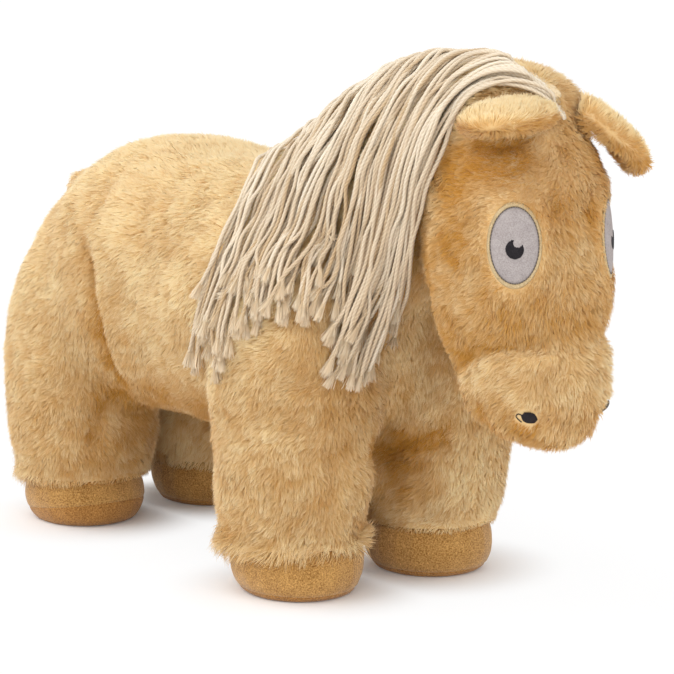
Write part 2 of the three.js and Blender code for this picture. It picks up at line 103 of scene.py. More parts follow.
# %% A ray through a point of the picture
def sight(px, py):
    """Where the line of sight through a point of the picture starts, and which way it runs."""
    turned = view_back.to_track_quat("Z", "Y")
    half = PICTURE_SIDE / 2
    step = SENSOR / LENS / PICTURE_SIDE
    ray = turned @ Vector(((px - half) * step, (half - py) * step, -1))
    return camera.location, ray.normalized()


# %% [markdown]
# ## Floor and light
# A packshot has a white sweep behind the object and very soft light. The light could come from large
# area lamps, but those fall off across the floor. Suns with a wide angle give the same soft shadow
# and light the whole floor alike, so that its white stays white up to the horizon. The paper also
# shines, for the camera only, but hardly at all beside the feet, so that it keeps their shadow.

# %% Meshes and materials: small helpers
def new_material(name):
    """A material with nothing in it but its Principled shader."""
    made = bpy.data.materials.new(name)
    made.use_nodes = True
    return made, made.node_tree.nodes, made.node_tree.links, made.node_tree.nodes["Principled BSDF"]


def mesh_of(shape, name):
    """The mesh of a bmesh that is done with."""
    mesh = bpy.data.meshes.new(name)
    shape.to_mesh(mesh)
    shape.free()
    return mesh


def add_mesh_object(name, mesh, material=None):
    """A mesh put on the scene as an object."""
    made = bpy.data.objects.new(name, mesh)
    bpy.context.scene.collection.objects.link(made)
    if material:
        mesh.materials.append(material)
    return made


def combined(tree, operation, first, second):
    """The result of a Math node that two sockets feed."""
    node = tree.nodes.new("ShaderNodeMath")
    node.operation = operation
    tree.links.new(first, node.inputs[0])
    tree.links.new(second, node.inputs[1])
    return node.outputs[0]


# %% Floor
FLOOR_RADIUS = 30.0
PAPER_WHITE = (0.93, 0.93, 0.935, 1)
PAPER_SHINE = 1.02
floor_shape = bmesh.new()
bmesh.ops.create_circle(floor_shape, cap_ends=True, radius=FLOOR_RADIUS, segments=64)
paper, paper_nodes, paper_links, paper_shader = new_material("white_paper")
paper_shader.inputs["Base Color"].default_value = PAPER_WHITE
paper_shader.inputs["Roughness"].default_value = 0.9
floor = add_mesh_object("floor", mesh_of(floor_shape, "floor"), paper)
print("the sheet of paper is", 2 * FLOOR_RADIUS, "m wide")

# %% How far the paper is from the nearest foot
LEGS = ("foreleg_right", "foreleg_left", "hindleg_right", "hindleg_left")
table_place = paper_nodes.new("ShaderNodeTexCoord")
foot_gaps = []
for leg in LEGS:
    low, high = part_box("sole_" + leg)
    gap = paper_nodes.new("ShaderNodeVectorMath")
    gap.operation = "DISTANCE"
    gap.inputs[1].default_value = ((low.x + high.x) / 2, (low.y + high.y) / 2, 0)
    paper_links.new(table_place.outputs["Object"], gap.inputs[0])
    foot_gaps.append(gap.outputs["Value"])
nearest_foot = foot_gaps[0]
for foot_gap in foot_gaps[1:]:
    nearest_foot = combined(paper.node_tree, "MINIMUM", nearest_foot, foot_gap)
print("the floor keeps its shadow beside", len(foot_gaps), "feet")

# %% The paper's shine
SHADOW_EDGES = (30 * MM, 80 * MM)
SHINE_SHARES = (0.05, 0.88)
glow = paper_nodes.new("ShaderNodeMapRange")
glow.interpolation_type = "SMOOTHSTEP"
glow.inputs["From Min"].default_value, glow.inputs["From Max"].default_value = SHADOW_EDGES
glow.inputs["To Min"].default_value, glow.inputs["To Max"].default_value = SHINE_SHARES
lit_from_below = paper_nodes.new("ShaderNodeEmission")
lit_from_below.inputs["Strength"].default_value = PAPER_SHINE
paper_mix = paper_nodes.new("ShaderNodeMixShader")
paper_path = paper_nodes.new("ShaderNodeLightPath")
paper_links.new(nearest_foot, glow.inputs["Value"])
paper_share = combined(
    paper.node_tree, "MULTIPLY", paper_path.outputs["Is Camera Ray"], glow.outputs["Result"])
paper_links.new(paper_share, paper_mix.inputs["Fac"])
paper_links.new(paper_shader.outputs["BSDF"], paper_mix.inputs[1])
paper_links.new(lit_from_below.outputs["Emission"], paper_mix.inputs[2])
paper_links.new(paper_mix.outputs[0], paper_nodes["Material Output"].inputs["Surface"])

# %% World and suns
SKY_LIGHT, SKY_SEEN = 0.86, 1.0
world = bpy.data.worlds.new("studio")
bpy.context.scene.world = world
world.use_nodes = True
sky_nodes, sky_links = world.node_tree.nodes, world.node_tree.links
background = sky_nodes["Background"]
seen = sky_nodes.new("ShaderNodeLightPath")
shown_white = combined(
    world.node_tree, "MAXIMUM", seen.outputs["Is Camera Ray"], seen.outputs["Is Glossy Ray"])
strength = sky_nodes.new("ShaderNodeMapRange")
strength.inputs["To Min"].default_value = SKY_LIGHT
strength.inputs["To Max"].default_value = SKY_SEEN
sky_links.new(shown_white, strength.inputs["Value"])
background.inputs["Color"].default_value = (1, 1, 1, 1)
sky_links.new(strength.outputs[0], background.inputs["Strength"])

SUNS = {  # azimuth and elevation of each sun, its strength and its angle
    "key": (-28, 46, 1.45, 60),
    "fill": (78, 16, 1.1, 80),
}
for sun_name, (azimuth, elevation, power, angle) in SUNS.items():
    sun_data = bpy.data.lights.new(sun_name, "SUN")
    sun_data.energy, sun_data.angle = power, math.radians(angle)
    sun = bpy.data.objects.new(sun_name, sun_data)
    bpy.context.scene.collection.objects.link(sun)
    direction = towards(math.radians(azimuth), math.radians(elevation))
    sun.rotation_euler = direction.to_track_quat("Z", "Y").to_euler()
bpy.context.scene.view_settings.view_transform = "Standard"
print("suns:", ", ".join(SUNS))

# %% [markdown]
# ## Soft noise without a texture
# Cloth and pile are never even. Blender's noise textures colour a surface, but they can't say how long
# a hair is or which way it lies. So one small function gives smooth random values at points in space:
# it has random values on a lattice and blends between the eight that surround a point. The large
# odd numbers in it only scatter the values, so that no two corners of the lattice are alike.

# %% Value noise
def noise(points, size, seed):
    """Smooth values from -1 to 1 at each point, which change over about this size."""
    place = points / size + seed * 17.31
    corner = np.floor(place).astype(np.int64)
    within = place - corner
    within = within * within * (3 - 2 * within)
    total = np.zeros(len(points))
    for offset in np.ndindex(2, 2, 2):
        cell = corner + np.array(offset)
        mixed = cell[:, 0] * 73856093 ^ cell[:, 1] * 19349663 ^ cell[:, 2] * 83492791 ^ seed * 2654435
        value = ((mixed * 1103515245 + 12345) & 0xFFFFFF) / 0xFFFFFF
        weight = np.prod(np.where(offset, within, 1 - within), axis=1)
        total += weight * value
    return total * 2 - 1


def unit(vectors):
    """The same directions, each 1 long."""
    return vectors / np.maximum(np.linalg.norm(vectors, axis=1, keepdims=True), 1e-12)


# %% [markdown]
# ## The stuffed skin
# The plush cloth is one skin with sewn joins, pulled tight over its stuffing. Copies of the packed
# forms are joined, and a voxel remesh grows them into one smooth surface. The seams between the forms
# are then relaxed, as cloth relaxes over filling, and the skin is drawn in to the foot of the pile,
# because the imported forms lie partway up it. It could be simulated as cloth with pressure inside, but
# under this coat that would not show, so vertices are moved directly.

# %% Join and remesh
STUFFED = ["body", "neck", "head", "muzzle",
           "foreleg_right", "foreleg_left", "hindleg_right", "hindleg_left"]
SKIN_VOXEL, SKIN_GROWN = 3.0 * MM, 0.4 * MM
MERGED = 0.01 * MM


def relax(shape, vertices, rounds, share=0.5):
    """Moves vertices part of the way to the middle of their neighbours, a few times over."""
    for _ in range(rounds):
        bmesh.ops.smooth_vert(shape, verts=vertices, factor=share,
                              use_axis_x=True, use_axis_y=True, use_axis_z=True)


def remeshed(name, node_names, voxel, grow):
    """One closed skin round these nodes."""
    shape = bmesh.new()
    for node in node_names:
        shape.from_mesh(nodes[node].data)
    bmesh.ops.remove_doubles(shape, verts=shape.verts, dist=MERGED)
    shape.normal_update()
    for vertex in shape.verts:
        vertex.co += vertex.normal * grow
    rough = add_mesh_object(name + "_rough", mesh_of(shape, name))
    modifier = rough.modifiers.new("remesh", "REMESH")
    modifier.mode, modifier.voxel_size = "VOXEL", voxel
    graph = bpy.context.evaluated_depsgraph_get()
    made = bpy.data.meshes.new_from_object(rough.evaluated_get(graph))
    bpy.data.objects.remove(rough)
    return made


coat_shape = bmesh.new()
coat_shape.from_mesh(remeshed("coat", STUFFED, SKIN_VOXEL, SKIN_GROWN))
print("the joined skin has", len(coat_shape.faces), "faces")

# %% Which form each vertex belongs to, and how near a seam it is
def solid_tree(node):
    """A packed form, made ready to be searched for its nearest point."""
    packed = nodes[node].data
    return BVHTree.FromPolygons([v.co for v in packed.vertices], [p.vertices for p in packed.polygons])


node_trees = {node: solid_tree(node) for node in STUFFED}


def nearest_forms(point):
    """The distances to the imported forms, nearest first, as (distance, number of the form)."""
    return sorted((node_trees[n].find_nearest(point)[3], i) for i, n in enumerate(STUFFED))


SEAM_REACH = 16 * MM
SEAM_ROUNDS, SEAM_SHARE, SKIN_ROUNDS = 14, 0.6, 2
form_of = coat_shape.verts.layers.int.new("form")
near_seam = []
for vertex in coat_shape.verts:
    (first, form), (second, other), *_ = nearest_forms(vertex.co)
    vertex[form_of] = form
    pair = {STUFFED[form], STUFFED[other]}
    if second < SEAM_REACH and pair != {"head", "muzzle"}:
        near_seam.append(vertex)
relax(coat_shape, near_seam, SEAM_ROUNDS, SEAM_SHARE)
relax(coat_shape, coat_shape.verts, SKIN_ROUNDS)
print(len(near_seam), "vertices near a seam were relaxed")

# %% [markdown]
# ## Draw the skin in
# The fibres are 7 mm long and lean over, so the coat stands 5 to 6 mm above its cloth, and the packed
# surface lies a little above its middle. So the skin goes about 4 mm below that surface. Round the eyes and
# the nostrils the real maker sews through the pile, so there the skin comes up to the sewn patch.

# %% Places on the face
UP = Vector((0, 0, 1))
EYE_TURN, NOSTRIL_TURN = math.radians(39), math.radians(46)
EYE_SHIFT = 2 * MM
EYE_HALF, NOSTRIL_HALF = (13.4 * MM, 21.2 * MM), (5.0 * MM, 4.0 * MM)
FACE_DEPTH, OUT_OF_REACH = 25 * MM, 99.0
SIDES = {"right": -1, "left": 1}


def facing(node, turn, side):
    """The middle of a sewn patch, the way that it faces, and the way across it."""
    low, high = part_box(node)
    out = Vector((math.cos(turn), side * math.sin(turn), 0))
    return (low + high) / 2, out, UP.cross(out)


patches = {}
for side_name, side in SIDES.items():
    middle, out, across = facing("eye_" + side_name, EYE_TURN, side)
    patches["eye_" + side_name] = (middle - across * EYE_SHIFT, out, across, *EYE_HALF)
    patches["nostril_" + side_name] = (*facing("nostril_" + side_name, NOSTRIL_TURN, side), *NOSTRIL_HALF)


def patch_reach(points, patch):
    """How far points lie from the middle of a patch, where 1 is on its edge; far away behind it."""
    middle, out, across, half_width, half_height = patch
    away = points - np.array(middle)
    wide = away @ np.array(across) / half_width
    high = away @ np.array(UP) / half_height
    reach = np.sqrt(wide ** 2 + high ** 2)
    return np.where(away @ np.array(out) > -FACE_DEPTH, reach, OUT_OF_REACH)


def ramp(values, low, high):
    """0 below low, 1 above high and smooth between."""
    share = np.clip((values - low) / (high - low), 0, 1)
    return share * share * (3 - 2 * share)


def vertex_places(shape):
    """Where the vertices are, and which way they face."""
    return np.array([v.co for v in shape.verts]), np.array([v.normal for v in shape.verts])


# %% Places from the picture
MIDDLE_Y = 2.5 * MM
SIGHT_REACH, SIGHT_STEPS = 0.2, 200
coat_shape.normal_update()
packed_tree = BVHTree.FromBMesh(coat_shape)


def first_hit(px, py):
    """Where the line of sight through a point of the picture meets the joined skin, or passes nearest."""
    start, way = sight(px, py)
    hit = packed_tree.ray_cast(start, way)[0]
    if hit is not None:
        return hit
    reaches = np.linspace(DISTANCE - SIGHT_REACH, DISTANCE + SIGHT_REACH, SIGHT_STEPS)
    passed = (packed_tree.find_nearest(start + way * t) for t in reaches)
    return min(passed, key=lambda found: found[3])[0]


def mirrored(point):
    """The same place on the other side of the horse."""
    return Vector((point.x, 2 * MIDDLE_Y - point.y, point.z))


# %% [markdown]
# ## Swells, painted light and creases
# Filling is never even: it bulges in one place and sinks in another. Light and shade fall unevenly on the
# pile, and here they are painted into it, lighter or darker, and seams and folds press creases into it,
# which are painted darker for their shade. All three could be sculpted or painted by hand. Here each is a
# short list of places on the picture with a height, a lightness or a depth, found on the skin by a line of
# sight and given to both sides of the horse.

# %% Where the skin swells, and where light and shade are painted on the pile
SWELLS = [  # a point of the picture, how many mm the filling pushes the skin out, and over what radius
    (136, 143, 4.5, 38), (16, 250, -3.5, 34), (10, 350, -2.0, 28), (538, 62, 7.0, 24),
    (616, 372, -6.0, 22), (560, 450, 3.0, 13), (603, 205, 3.0, 20), (60, 182, -1.5, 18),
    (380, 455, -5.0, 20), (379, 490, -5.0, 20), (375, 525, -5.0, 20), (371, 548, -3.0, 16),
    (425, 408, 2.5, 18), (250, 148, -4.0, 20), (498, 500, -3.0, 18), (180, 300, 2.0, 26),
    (60, 330, 1.5, 26), (300, 450, 2.0, 24), (520, 385, 1.5, 18), (560, 310, 1.2, 16),
    (480, 300, 1.5, 20),
]
PAINTED_LIGHT_SPOTS = [  # a point of the picture, how much paler the pile is painted there (painted light; below 0, painted shade), and a radius
    (350, 500, 0.4, 26), (400, 380, 0.3, 30), (420, 300, 0.36, 30), (180, 440, 0.35, 30),
    (235, 160, 0.15, 25), (170, 345, 0.15, 25), (70, 200, -0.15, 30), (560, 170, -0.15, 22),
    (500, 160, -0.1, 24), (440, 470, -0.12, 26),
]
NEAR_MIDDLE = 20 * MM


def round_patches(points, patches_seen, measure):
    """The sum of soft round patches at each point; near the middle, both sides of one add up."""
    total = np.zeros(len(points))
    for px, py, height, radius in patches_seen:
        spot = first_hit(px, py)
        for middle in (spot, mirrored(spot)):
            away = np.linalg.norm(points - np.array(middle), axis=1) / MM / radius
            side_share = 1.0 if abs(middle.y - MIDDLE_Y) > NEAR_MIDDLE else 0.5
            total += height * measure * np.exp(-away ** 2) * side_share
    return total


places, normals = vertex_places(coat_shape)
swell_height = round_patches(places, SWELLS, MM)
# painted light and shade on the pile, in round spots
painted_light_tone = round_patches(places, PAINTED_LIGHT_SPOTS, 1)
print("the filling pushes the skin out by up to", round(swell_height.max() / MM, 1), "mm")

# %% Creases
CREASE_POINTS, CREASE_FADE, CREASE_REACH = 60, 8, 3
CREASES = [  # points of the picture along each crease, its depth and half width in mm, and the shade painted into it
    ([(82, 236), (88, 262), (92, 300), (100, 338), (112, 368), (128, 388)], 4.5, 5.5, 0.9),
    ([(128, 388), (112, 396), (98, 420), (96, 452)], 2.2, 6, 0.5),
    ([(150, 196), (143, 222), (146, 246)], 1.8, 5, 0.45),
    ([(172, 190), (166, 222), (170, 262)], 1.4, 5, 0.3),
    ([(120, 168), (104, 196), (92, 222)], 1.2, 7, 0.3),
    ([(362, 458), (382, 454), (407, 443), (432, 431), (459, 428)], 3.4, 5.5, 0.8),
    ([(330, 440), (334, 480), (332, 520), (326, 548)], 1.8, 6, 0.35),
    ([(205, 398), (214, 430), (214, 470)], 1.5, 7, 0.3),
    ([(466, 462), (474, 494), (486, 530)], 1.5, 5, 0.4),
    ([(452, 372), (470, 356), (500, 347), (540, 343), (575, 346), (604, 352)], 2.4, 4, 0.5),
    ([(486, 436), (478, 412), (474, 392)], 2.0, 5, 0.5),
    ([(430, 200), (424, 240), (428, 290), (436, 330), (452, 366)], 1.6, 8, 0.4),
    ([(560, 190), (566, 220), (566, 250)], 1.4, 8, 0.45),
    ([(592, 330), (600, 350), (604, 366)], 1.6, 6, 0.3),
    # a band of painted shade, with hardly any crease, under the near ear
    ([(438, 196), (458, 164), (500, 158), (545, 152)], 0.4, 15, 1.2),
    ([(464, 142), (490, 146), (515, 143), (530, 136)], 3.0, 4.5, 1.6),
    # a band of painted shade, with hardly any crease, behind the near eye
    ([(450, 268), (460, 228), (484, 194)], 0.3, 10, 0.6),
    ([(510, 431), (527, 434), (543, 431)], 1.6, 5, 1.5),
]


def crease_field(points):
    """How deep each point sinks into the creases, and how much shade is painted on it there."""
    depth, shade = np.zeros(len(points)), np.zeros(len(points))
    for line, deepest, half_width, darkest in CREASES:
        dense = [np.interp(np.linspace(0, len(line) - 1, CREASE_POINTS), np.arange(len(line)), axis)
                 for axis in np.array(line).T]
        spots = [first_hit(px, py) for px, py in zip(*dense)]
        tree = KDTree(len(spots) * 2)
        for i, spot in enumerate(spots):
            tree.insert(spot, i)
            tree.insert(mirrored(spot), i + len(spots))
        tree.balance()
        for i, point in enumerate(points):
            found, which, distance = tree.find(point)
            if distance < half_width * CREASE_REACH * MM:
                along = which % len(spots)
                fade = min(1, (along + 1) / CREASE_FADE, (len(spots) - along) / CREASE_FADE)
                near = math.exp(-(distance / MM / half_width) ** 2) * fade
                depth[i] = max(depth[i], near * deepest * MM)
                shade[i] = max(shade[i], near * darkest)
    return depth, shade


crease_depth, crease_shade = crease_field(places)
print(np.count_nonzero(crease_shade > 0.2), "vertices lie in creases")

# %% Inset
PILE_FOOT = 3.7 * MM
SEWN_FOOT = {"eye": 1.6 * MM, "nostril": 1.4 * MM}
HOOF_SEAM = 28.3 * MM
HOOF_NEAR, CUFF_HEIGHT, CUFF_DRAWN = 12 * MM, 26 * MM, 2.5 * MM
depth = np.full(len(places), PILE_FOOT)
for patch_name, patch in patches.items():
    kept = SEWN_FOOT[patch_name.split("_")[0]]
    depth += (kept - depth) * (1 - ramp(patch_reach(places, patch), 0.95, 1.75))
depth += noise(places, 34 * MM, 3) * 1.3 * MM + noise(places, 15 * MM, 4) * 0.5 * MM
depth += crease_depth - swell_height
near_hoof = 1 - ramp(places[:, 2], HOOF_SEAM, HOOF_SEAM + HOOF_NEAR)
depth += CUFF_DRAWN * (1 - ramp(places[:, 2], HOOF_SEAM, HOOF_SEAM + CUFF_HEIGHT))
inward = -normals * depth[:, None]
inward[:, 2] *= 1 - near_hoof
places += inward
print("the skin lies", round(depth.min() / MM, 1), "to", round(depth.max() / MM, 1), "mm deep")

# %% The skin's vertices in their new places
def write_places(shape, points):
    """Moves the vertices of a bmesh to these points."""
    for vertex, point in zip(shape.verts, points):
        vertex.co = point


write_places(coat_shape, places)
coat_shape.normal_update()
skin_tree = BVHTree.FromBMesh(coat_shape)
coat_places, coat_normals = vertex_places(coat_shape)
form_numbers = np.array([v[form_of] for v in coat_shape.verts])

# %% How much light reaches each part of the skin
OPEN_RAYS, OPEN_REACH, OPEN_LIFT = 14, 0.16, 3


def openness(points, ways):
    """How much of the sky and the room each point of the skin sees, from 0 to 1."""
    golden = math.pi * (3 - math.sqrt(5))
    rays = []
    for i, height in enumerate(np.linspace(0.96, 0.12, OPEN_RAYS)):
        level = math.sqrt(1 - height * height)
        rays.append(Vector((level * math.cos(golden * i), level * math.sin(golden * i), height)))
    seen_sky = np.zeros(len(points))
    for i, (point, way) in enumerate(zip(points, ways)):
        turned = Vector(way).to_track_quat("Z", "Y")
        start = Vector(point) + Vector(way) * OPEN_LIFT * MM
        for ray in rays:
            run = turned @ ray
            if run.z > -0.5 and skin_tree.ray_cast(start, run, OPEN_REACH)[0] is None:
                seen_sky[i] += 1
    return seen_sky / len(rays)


coat_open = openness(coat_places, coat_normals)
print("the skin sees", round(coat_open.mean(), 2), "of its room on average")


# %% The skin cut into one piece for each form
def form_skin(form, name):
    """The part of the coat that belongs to one form, closed inside the horse by flat covers."""
    part = coat_shape.copy()
    layer = part.verts.layers.int["form"]
    outside = [f for f in part.faces if sorted(v[layer] for v in f.verts)[1] != form]
    bmesh.ops.delete(part, geom=outside, context="FACES")
    rim = [e for e in part.edges if e.is_boundary]
    bmesh.ops.holes_fill(part, edges=rim, sides=0)
    for edge in rim:
        edge.smooth = False
    bmesh.ops.triangulate(part, faces=[f for f in part.faces if len(f.verts) > 4])
    return mesh_of(part, name)


# %% [markdown]
# ## The pile
# Deep plush is hundreds of thousands of soft fibres that stand in small locks, lean over and lie the
# way the cloth was brushed. Particle hair would be the usual tool, but hair isn't a mesh, so it can't
# be exported with the toy. Each fibre is a narrow blade with a bend in it instead: one corner at its
# foot, two at its bend and one at its tip. All of them are made at once with arrays of numbers,
# because a loop over so many would take minutes.

# %% Points on the skin
def sample_points(vertices, triangles, per_mm2, random):
    """Random places spread evenly over triangles: their corners, and the share of each corner."""
    a, b, c = (vertices[triangles[:, i]] for i in range(3))
    area = np.linalg.norm(np.cross(b - a, c - a), axis=1) / 2
    count = int(area.sum() / MM ** 2 * per_mm2)
    steps = (np.arange(count) + random.random(count)) / count
    chosen = np.searchsorted(np.cumsum(area) / area.sum(), steps).clip(0, len(area) - 1)
    u, v = random.random((2, count))
    folded = u + v > 1
    u, v = np.where(folded, 1 - u, u), np.where(folded, 1 - v, v)
    return triangles[chosen], np.stack([1 - u - v, u, v], axis=1)


def blended(values, corners, shares):
    """A value at each sampled place from the values at the corners round it."""
    if values.ndim == 1:
        return np.sum(values[corners] * shares, axis=1)
    return np.sum(values[corners] * shares[..., None], axis=1)


# %% Which way the pile was brushed
def brushed(points, ways, flow):
    """The direction along the skin that is nearest to a flow, turned here and there by noise."""
    flat = flow - ways * np.sum(flow * ways, axis=1, keepdims=True)
    flat = unit(flat + 1e-5)
    across = np.cross(ways, flat)
    turn = np.radians(34 * noise(points, 42 * MM, 11) + 46 * noise(points, 9 * MM, 12))
    return flat * np.cos(turn)[:, None] + across * np.sin(turn)[:, None]


# %% Locks
def lock_numbers(points, size, seed):
    """Fibres whose roots share an uneven cell of about this size belong to one lock."""
    warp = np.stack([noise(points, size * 1.3, seed + i) for i in range(3)], axis=1)
    cells = np.floor(points / size + warp * 0.8).astype(np.int64)
    _, numbers = np.unique(cells, axis=0, return_inverse=True)
    return numbers.ravel()


def lock_means(values, numbers):
    """The mean over each fibre's lock, given back to every fibre."""
    counts = np.bincount(numbers)
    if values.ndim == 1:
        return (np.bincount(numbers, values) / counts)[numbers]
    return np.stack([lock_means(column, numbers) for column in values.T], axis=1)


# %% Blades
LOWER_SHARE, UPPER_SHARE = 0.55, 0.45
BLADE_WIDTH = 0.34 * MM
CHART_HALF = 0.004
TONE_ENDS = (0.02, 0.98)


def grow_blades(points, ways, flow, length, tone, random, lean=(0.55, 1.10), gather=0.34, lock_size=4.4 * MM):
    """The bend and tip of every fibre, and how light it is."""
    count = len(points)
    along = brushed(points, ways, flow)
    low, high = (angle + 0.2 * random.standard_normal(count) for angle in lean)
    spread = np.cross(ways, along) * (0.42 * random.standard_normal(count))[:, None]
    first = unit(ways * np.cos(low)[:, None] + (along + spread) * np.sin(low)[:, None])
    second = unit(ways * np.cos(high)[:, None] + (along + spread) * np.sin(high)[:, None])
    length = length * (1 + 0.16 * random.standard_normal(count)).clip(0.5, 1.5)
    bends = points + first * (length * LOWER_SHARE)[:, None]
    tips = bends + second * (length * UPPER_SHARE)[:, None]

    locks = lock_numbers(points, lock_size, 21)
    lock_random = random.random(locks.max() + 1)[locks]
    pull = gather * (0.55 + 0.9 * lock_random)
    tips += (lock_means(tips, locks) - tips) * pull[:, None]
    bends += (lock_means(bends, locks) - bends) * (pull * 0.4)[:, None]
    tone = tone + 0.28 * (lock_random - 0.5) + 0.08 * random.standard_normal(count)
    return bends, tips, tone.clip(*TONE_ENDS)


def blade_mesh(name, points, bends, tips, ways, tone, random, width=BLADE_WIDTH):
    """One mesh of all the blades. Its map holds how light a fibre is, and the way up it."""
    count = len(points)
    roll = np.radians(35) * random.standard_normal(count)
    run = unit(tips - points)
    across = unit(np.cross(run, ways))
    across = across * np.cos(roll)[:, None] + np.cross(run, across) * np.sin(roll)[:, None]
    half = across * width / 2
    corners = np.stack([points, bends - half, bends + half, tips], axis=1)
    mesh = bpy.data.meshes.new(name)
    mesh.vertices.add(count * 4)
    mesh.vertices.foreach_set("co", corners.astype(np.float32).ravel())
    order = np.array([0, 2, 1, 1, 2, 3])
    mesh.loops.add(count * 6)
    corner_order = (np.arange(count)[:, None] * 4 + order).astype(np.int32)
    mesh.loops.foreach_set("vertex_index", corner_order.ravel())
    mesh.polygons.add(count * 2)
    mesh.polygons.foreach_set("loop_start", np.arange(count * 2, dtype=np.int32) * 3)
    mesh.update(calc_edges=True)
    side = np.array([0, 1, -1, -1, 1, 0]) * CHART_HALF
    height = np.array([0.02, 0.55, 0.55, 0.55, 0.55, 0.98])
    uv = mesh.uv_layers.new(name="OFBake")
    chart = np.stack([tone[:, None] + side, np.broadcast_to(height, (count, 6))], axis=2)
    uv.data.foreach_set("uv", chart.astype(np.float32).ravel())
    face = unit(np.cross(across, run))
    soft = unit(ways * 0.86 + face * 0.14)
    mesh.shade_smooth()
    mesh.normals_split_custom_set_from_vertices(np.repeat(soft, 4, axis=0))
    return mesh


# %% [markdown]
# ## Colour of the pile
# The fibres are golden. They are painted darkest at the root, as the shade where they cover each other, and
# palest at the tip, and whole locks are lighter or browner than the next. So the colour depends on two
# numbers only, which the blades' map holds: how light the fibre is, for its lock and for the light and shade
# painted on it, and how far up the fibre.

# %% The pile's colours as a node group
def srgb(*values):
    """A colour as it looks on the screen, as the shader wants it."""
    return tuple(((v / 255 + 0.055) / 1.055) ** 2.4 if v > 10 else v / 3294.6 for v in values) + (1,)


def colour_ramp(tree, stops):
    """A Color Ramp node with these (place, colour) stops."""
    node = tree.nodes.new("ShaderNodeValToRGB")
    band = node.color_ramp
    while len(band.elements) < len(stops):
        band.elements.new(0.5)
    for element, (place, colour) in zip(band.elements, stops):
        element.position, element.color = place, colour
    return node


def two_dyes(tree, paleness, place, dull, pale):
    """A colour between a dull ramp and a pale one, which both run along the same place."""
    mix = tree.nodes.new("ShaderNodeMix")
    mix.data_type = "RGBA"
    for stops, side in ((dull, "A"), (pale, "B")):
        ramp_node = colour_ramp(tree, stops)
        tree.links.new(place, ramp_node.inputs["Fac"])
        tree.links.new(ramp_node.outputs["Color"], mix.inputs[side])
    tree.links.new(paleness, mix.inputs["Factor"])
    return mix.outputs["Result"]


# each ramp runs from the root, painted darker as shade, to the tip; the place between the ramps holds each
# lock's own lightness and the painted light and shade
BROWN_LOCKS = [(0.0, srgb(200, 140, 46)), (0.5, srgb(208, 149, 54)), (1.0, srgb(221, 165, 73))]
PALE_LOCKS = [(0.0, srgb(250, 216, 148)), (0.5, srgb(254, 229, 172)), (1.0, srgb(255, 244, 210))]
pile_group = bpy.data.node_groups.new("pile_colour", "ShaderNodeTree")
pile_group.interface.new_socket("Tone", in_out="INPUT", socket_type="NodeSocketFloat")
pile_group.interface.new_socket("Height", in_out="INPUT", socket_type="NodeSocketFloat")
pile_group.interface.new_socket("Colour", in_out="OUTPUT", socket_type="NodeSocketColor")
group_in = pile_group.nodes.new("NodeGroupInput")
group_out = pile_group.nodes.new("NodeGroupOutput")
dyed = two_dyes(pile_group, group_in.outputs["Tone"], group_in.outputs["Height"], BROWN_LOCKS, PALE_LOCKS)
pile_group.links.new(dyed, group_out.inputs["Colour"])

# %% The pile's material
def chart_numbers(tree):
    """The two numbers that a piece's own map holds."""
    chart = tree.nodes.new("ShaderNodeUVMap")
    chart.uv_map = "OFBake"
    split = tree.nodes.new("ShaderNodeSeparateXYZ")
    tree.links.new(chart.outputs["UV"], split.inputs["Vector"])
    return split.outputs["X"], split.outputs["Y"]


pile, pile_nodes, pile_links, pile_shader = new_material("plush_pile")
dye = pile_nodes.new("ShaderNodeGroup")
dye.node_tree = pile_group
for number, socket_name in zip(chart_numbers(pile.node_tree), ("Tone", "Height")):
    pile_links.new(number, dye.inputs[socket_name])
pile_links.new(dye.outputs["Colour"], pile_shader.inputs["Base Color"])
pile_shader.inputs["Roughness"].default_value = 0.72
pile_shader.inputs["Specular IOR Level"].default_value = 0.25
pile_shader.inputs["Sheen Weight"].default_value = 0.25
pile_shader.inputs["Sheen Roughness"].default_value = 0.45


def let_light_through(material, shader, share):
    """Fibres are thin, so part of the light that meets them comes out on their other side."""
    tree = material.node_tree
    through = tree.nodes.new("ShaderNodeBsdfTranslucent")
    both = tree.nodes.new("ShaderNodeMixShader")
    both.inputs["Fac"].default_value = share
    tree.links.new(shader.inputs["Base Color"].links[0].from_socket, through.inputs["Color"])
    tree.links.new(shader.outputs["BSDF"], both.inputs[1])
    tree.links.new(through.outputs["BSDF"], both.inputs[2])
    tree.links.new(both.outputs[0], tree.nodes["Material Output"].inputs["Surface"])


let_light_through(pile, pile_shader, 0.28)

# %% The backing cloth's material
backing, backing_nodes, backing_links, backing_shader = new_material("plush_backing")
cloth_place = backing_nodes.new("ShaderNodeTexCoord")
patchy = backing_nodes.new("ShaderNodeTexNoise")
patchy.inputs["Scale"].default_value = 55
patchy.inputs["Detail"].default_value = 5
rough_dye = backing_nodes.new("ShaderNodeGroup")
rough_dye.node_tree = pile_group
rough_dye.inputs["Height"].default_value = 0.7
backing_links.new(cloth_place.outputs["Object"], patchy.inputs["Vector"])
backing_links.new(patchy.outputs["Fac"], rough_dye.inputs["Tone"])
backing_links.new(rough_dye.outputs["Colour"], backing_shader.inputs["Base Color"])
backing_shader.inputs["Roughness"].default_value = 0.95
nubs = backing_nodes.new("ShaderNodeBump")
nubs.inputs["Strength"].default_value = 0.6
nubs.inputs["Distance"].default_value = 0.6 * MM
backing_links.new(patchy.outputs["Fac"], nubs.inputs["Height"])
backing_links.new(nubs.outputs["Normal"], backing_shader.inputs["Normal"])

# %% Skins on the scene
for number, form in enumerate(STUFFED):
    skin = add_mesh_object("skin_" + form, form_skin(number, "skin_" + form), backing)
    skin.data.shade_smooth()
    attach(skin, TORSO)
    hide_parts(form)
    print(skin.name, len(skin.data.polygons), "faces")

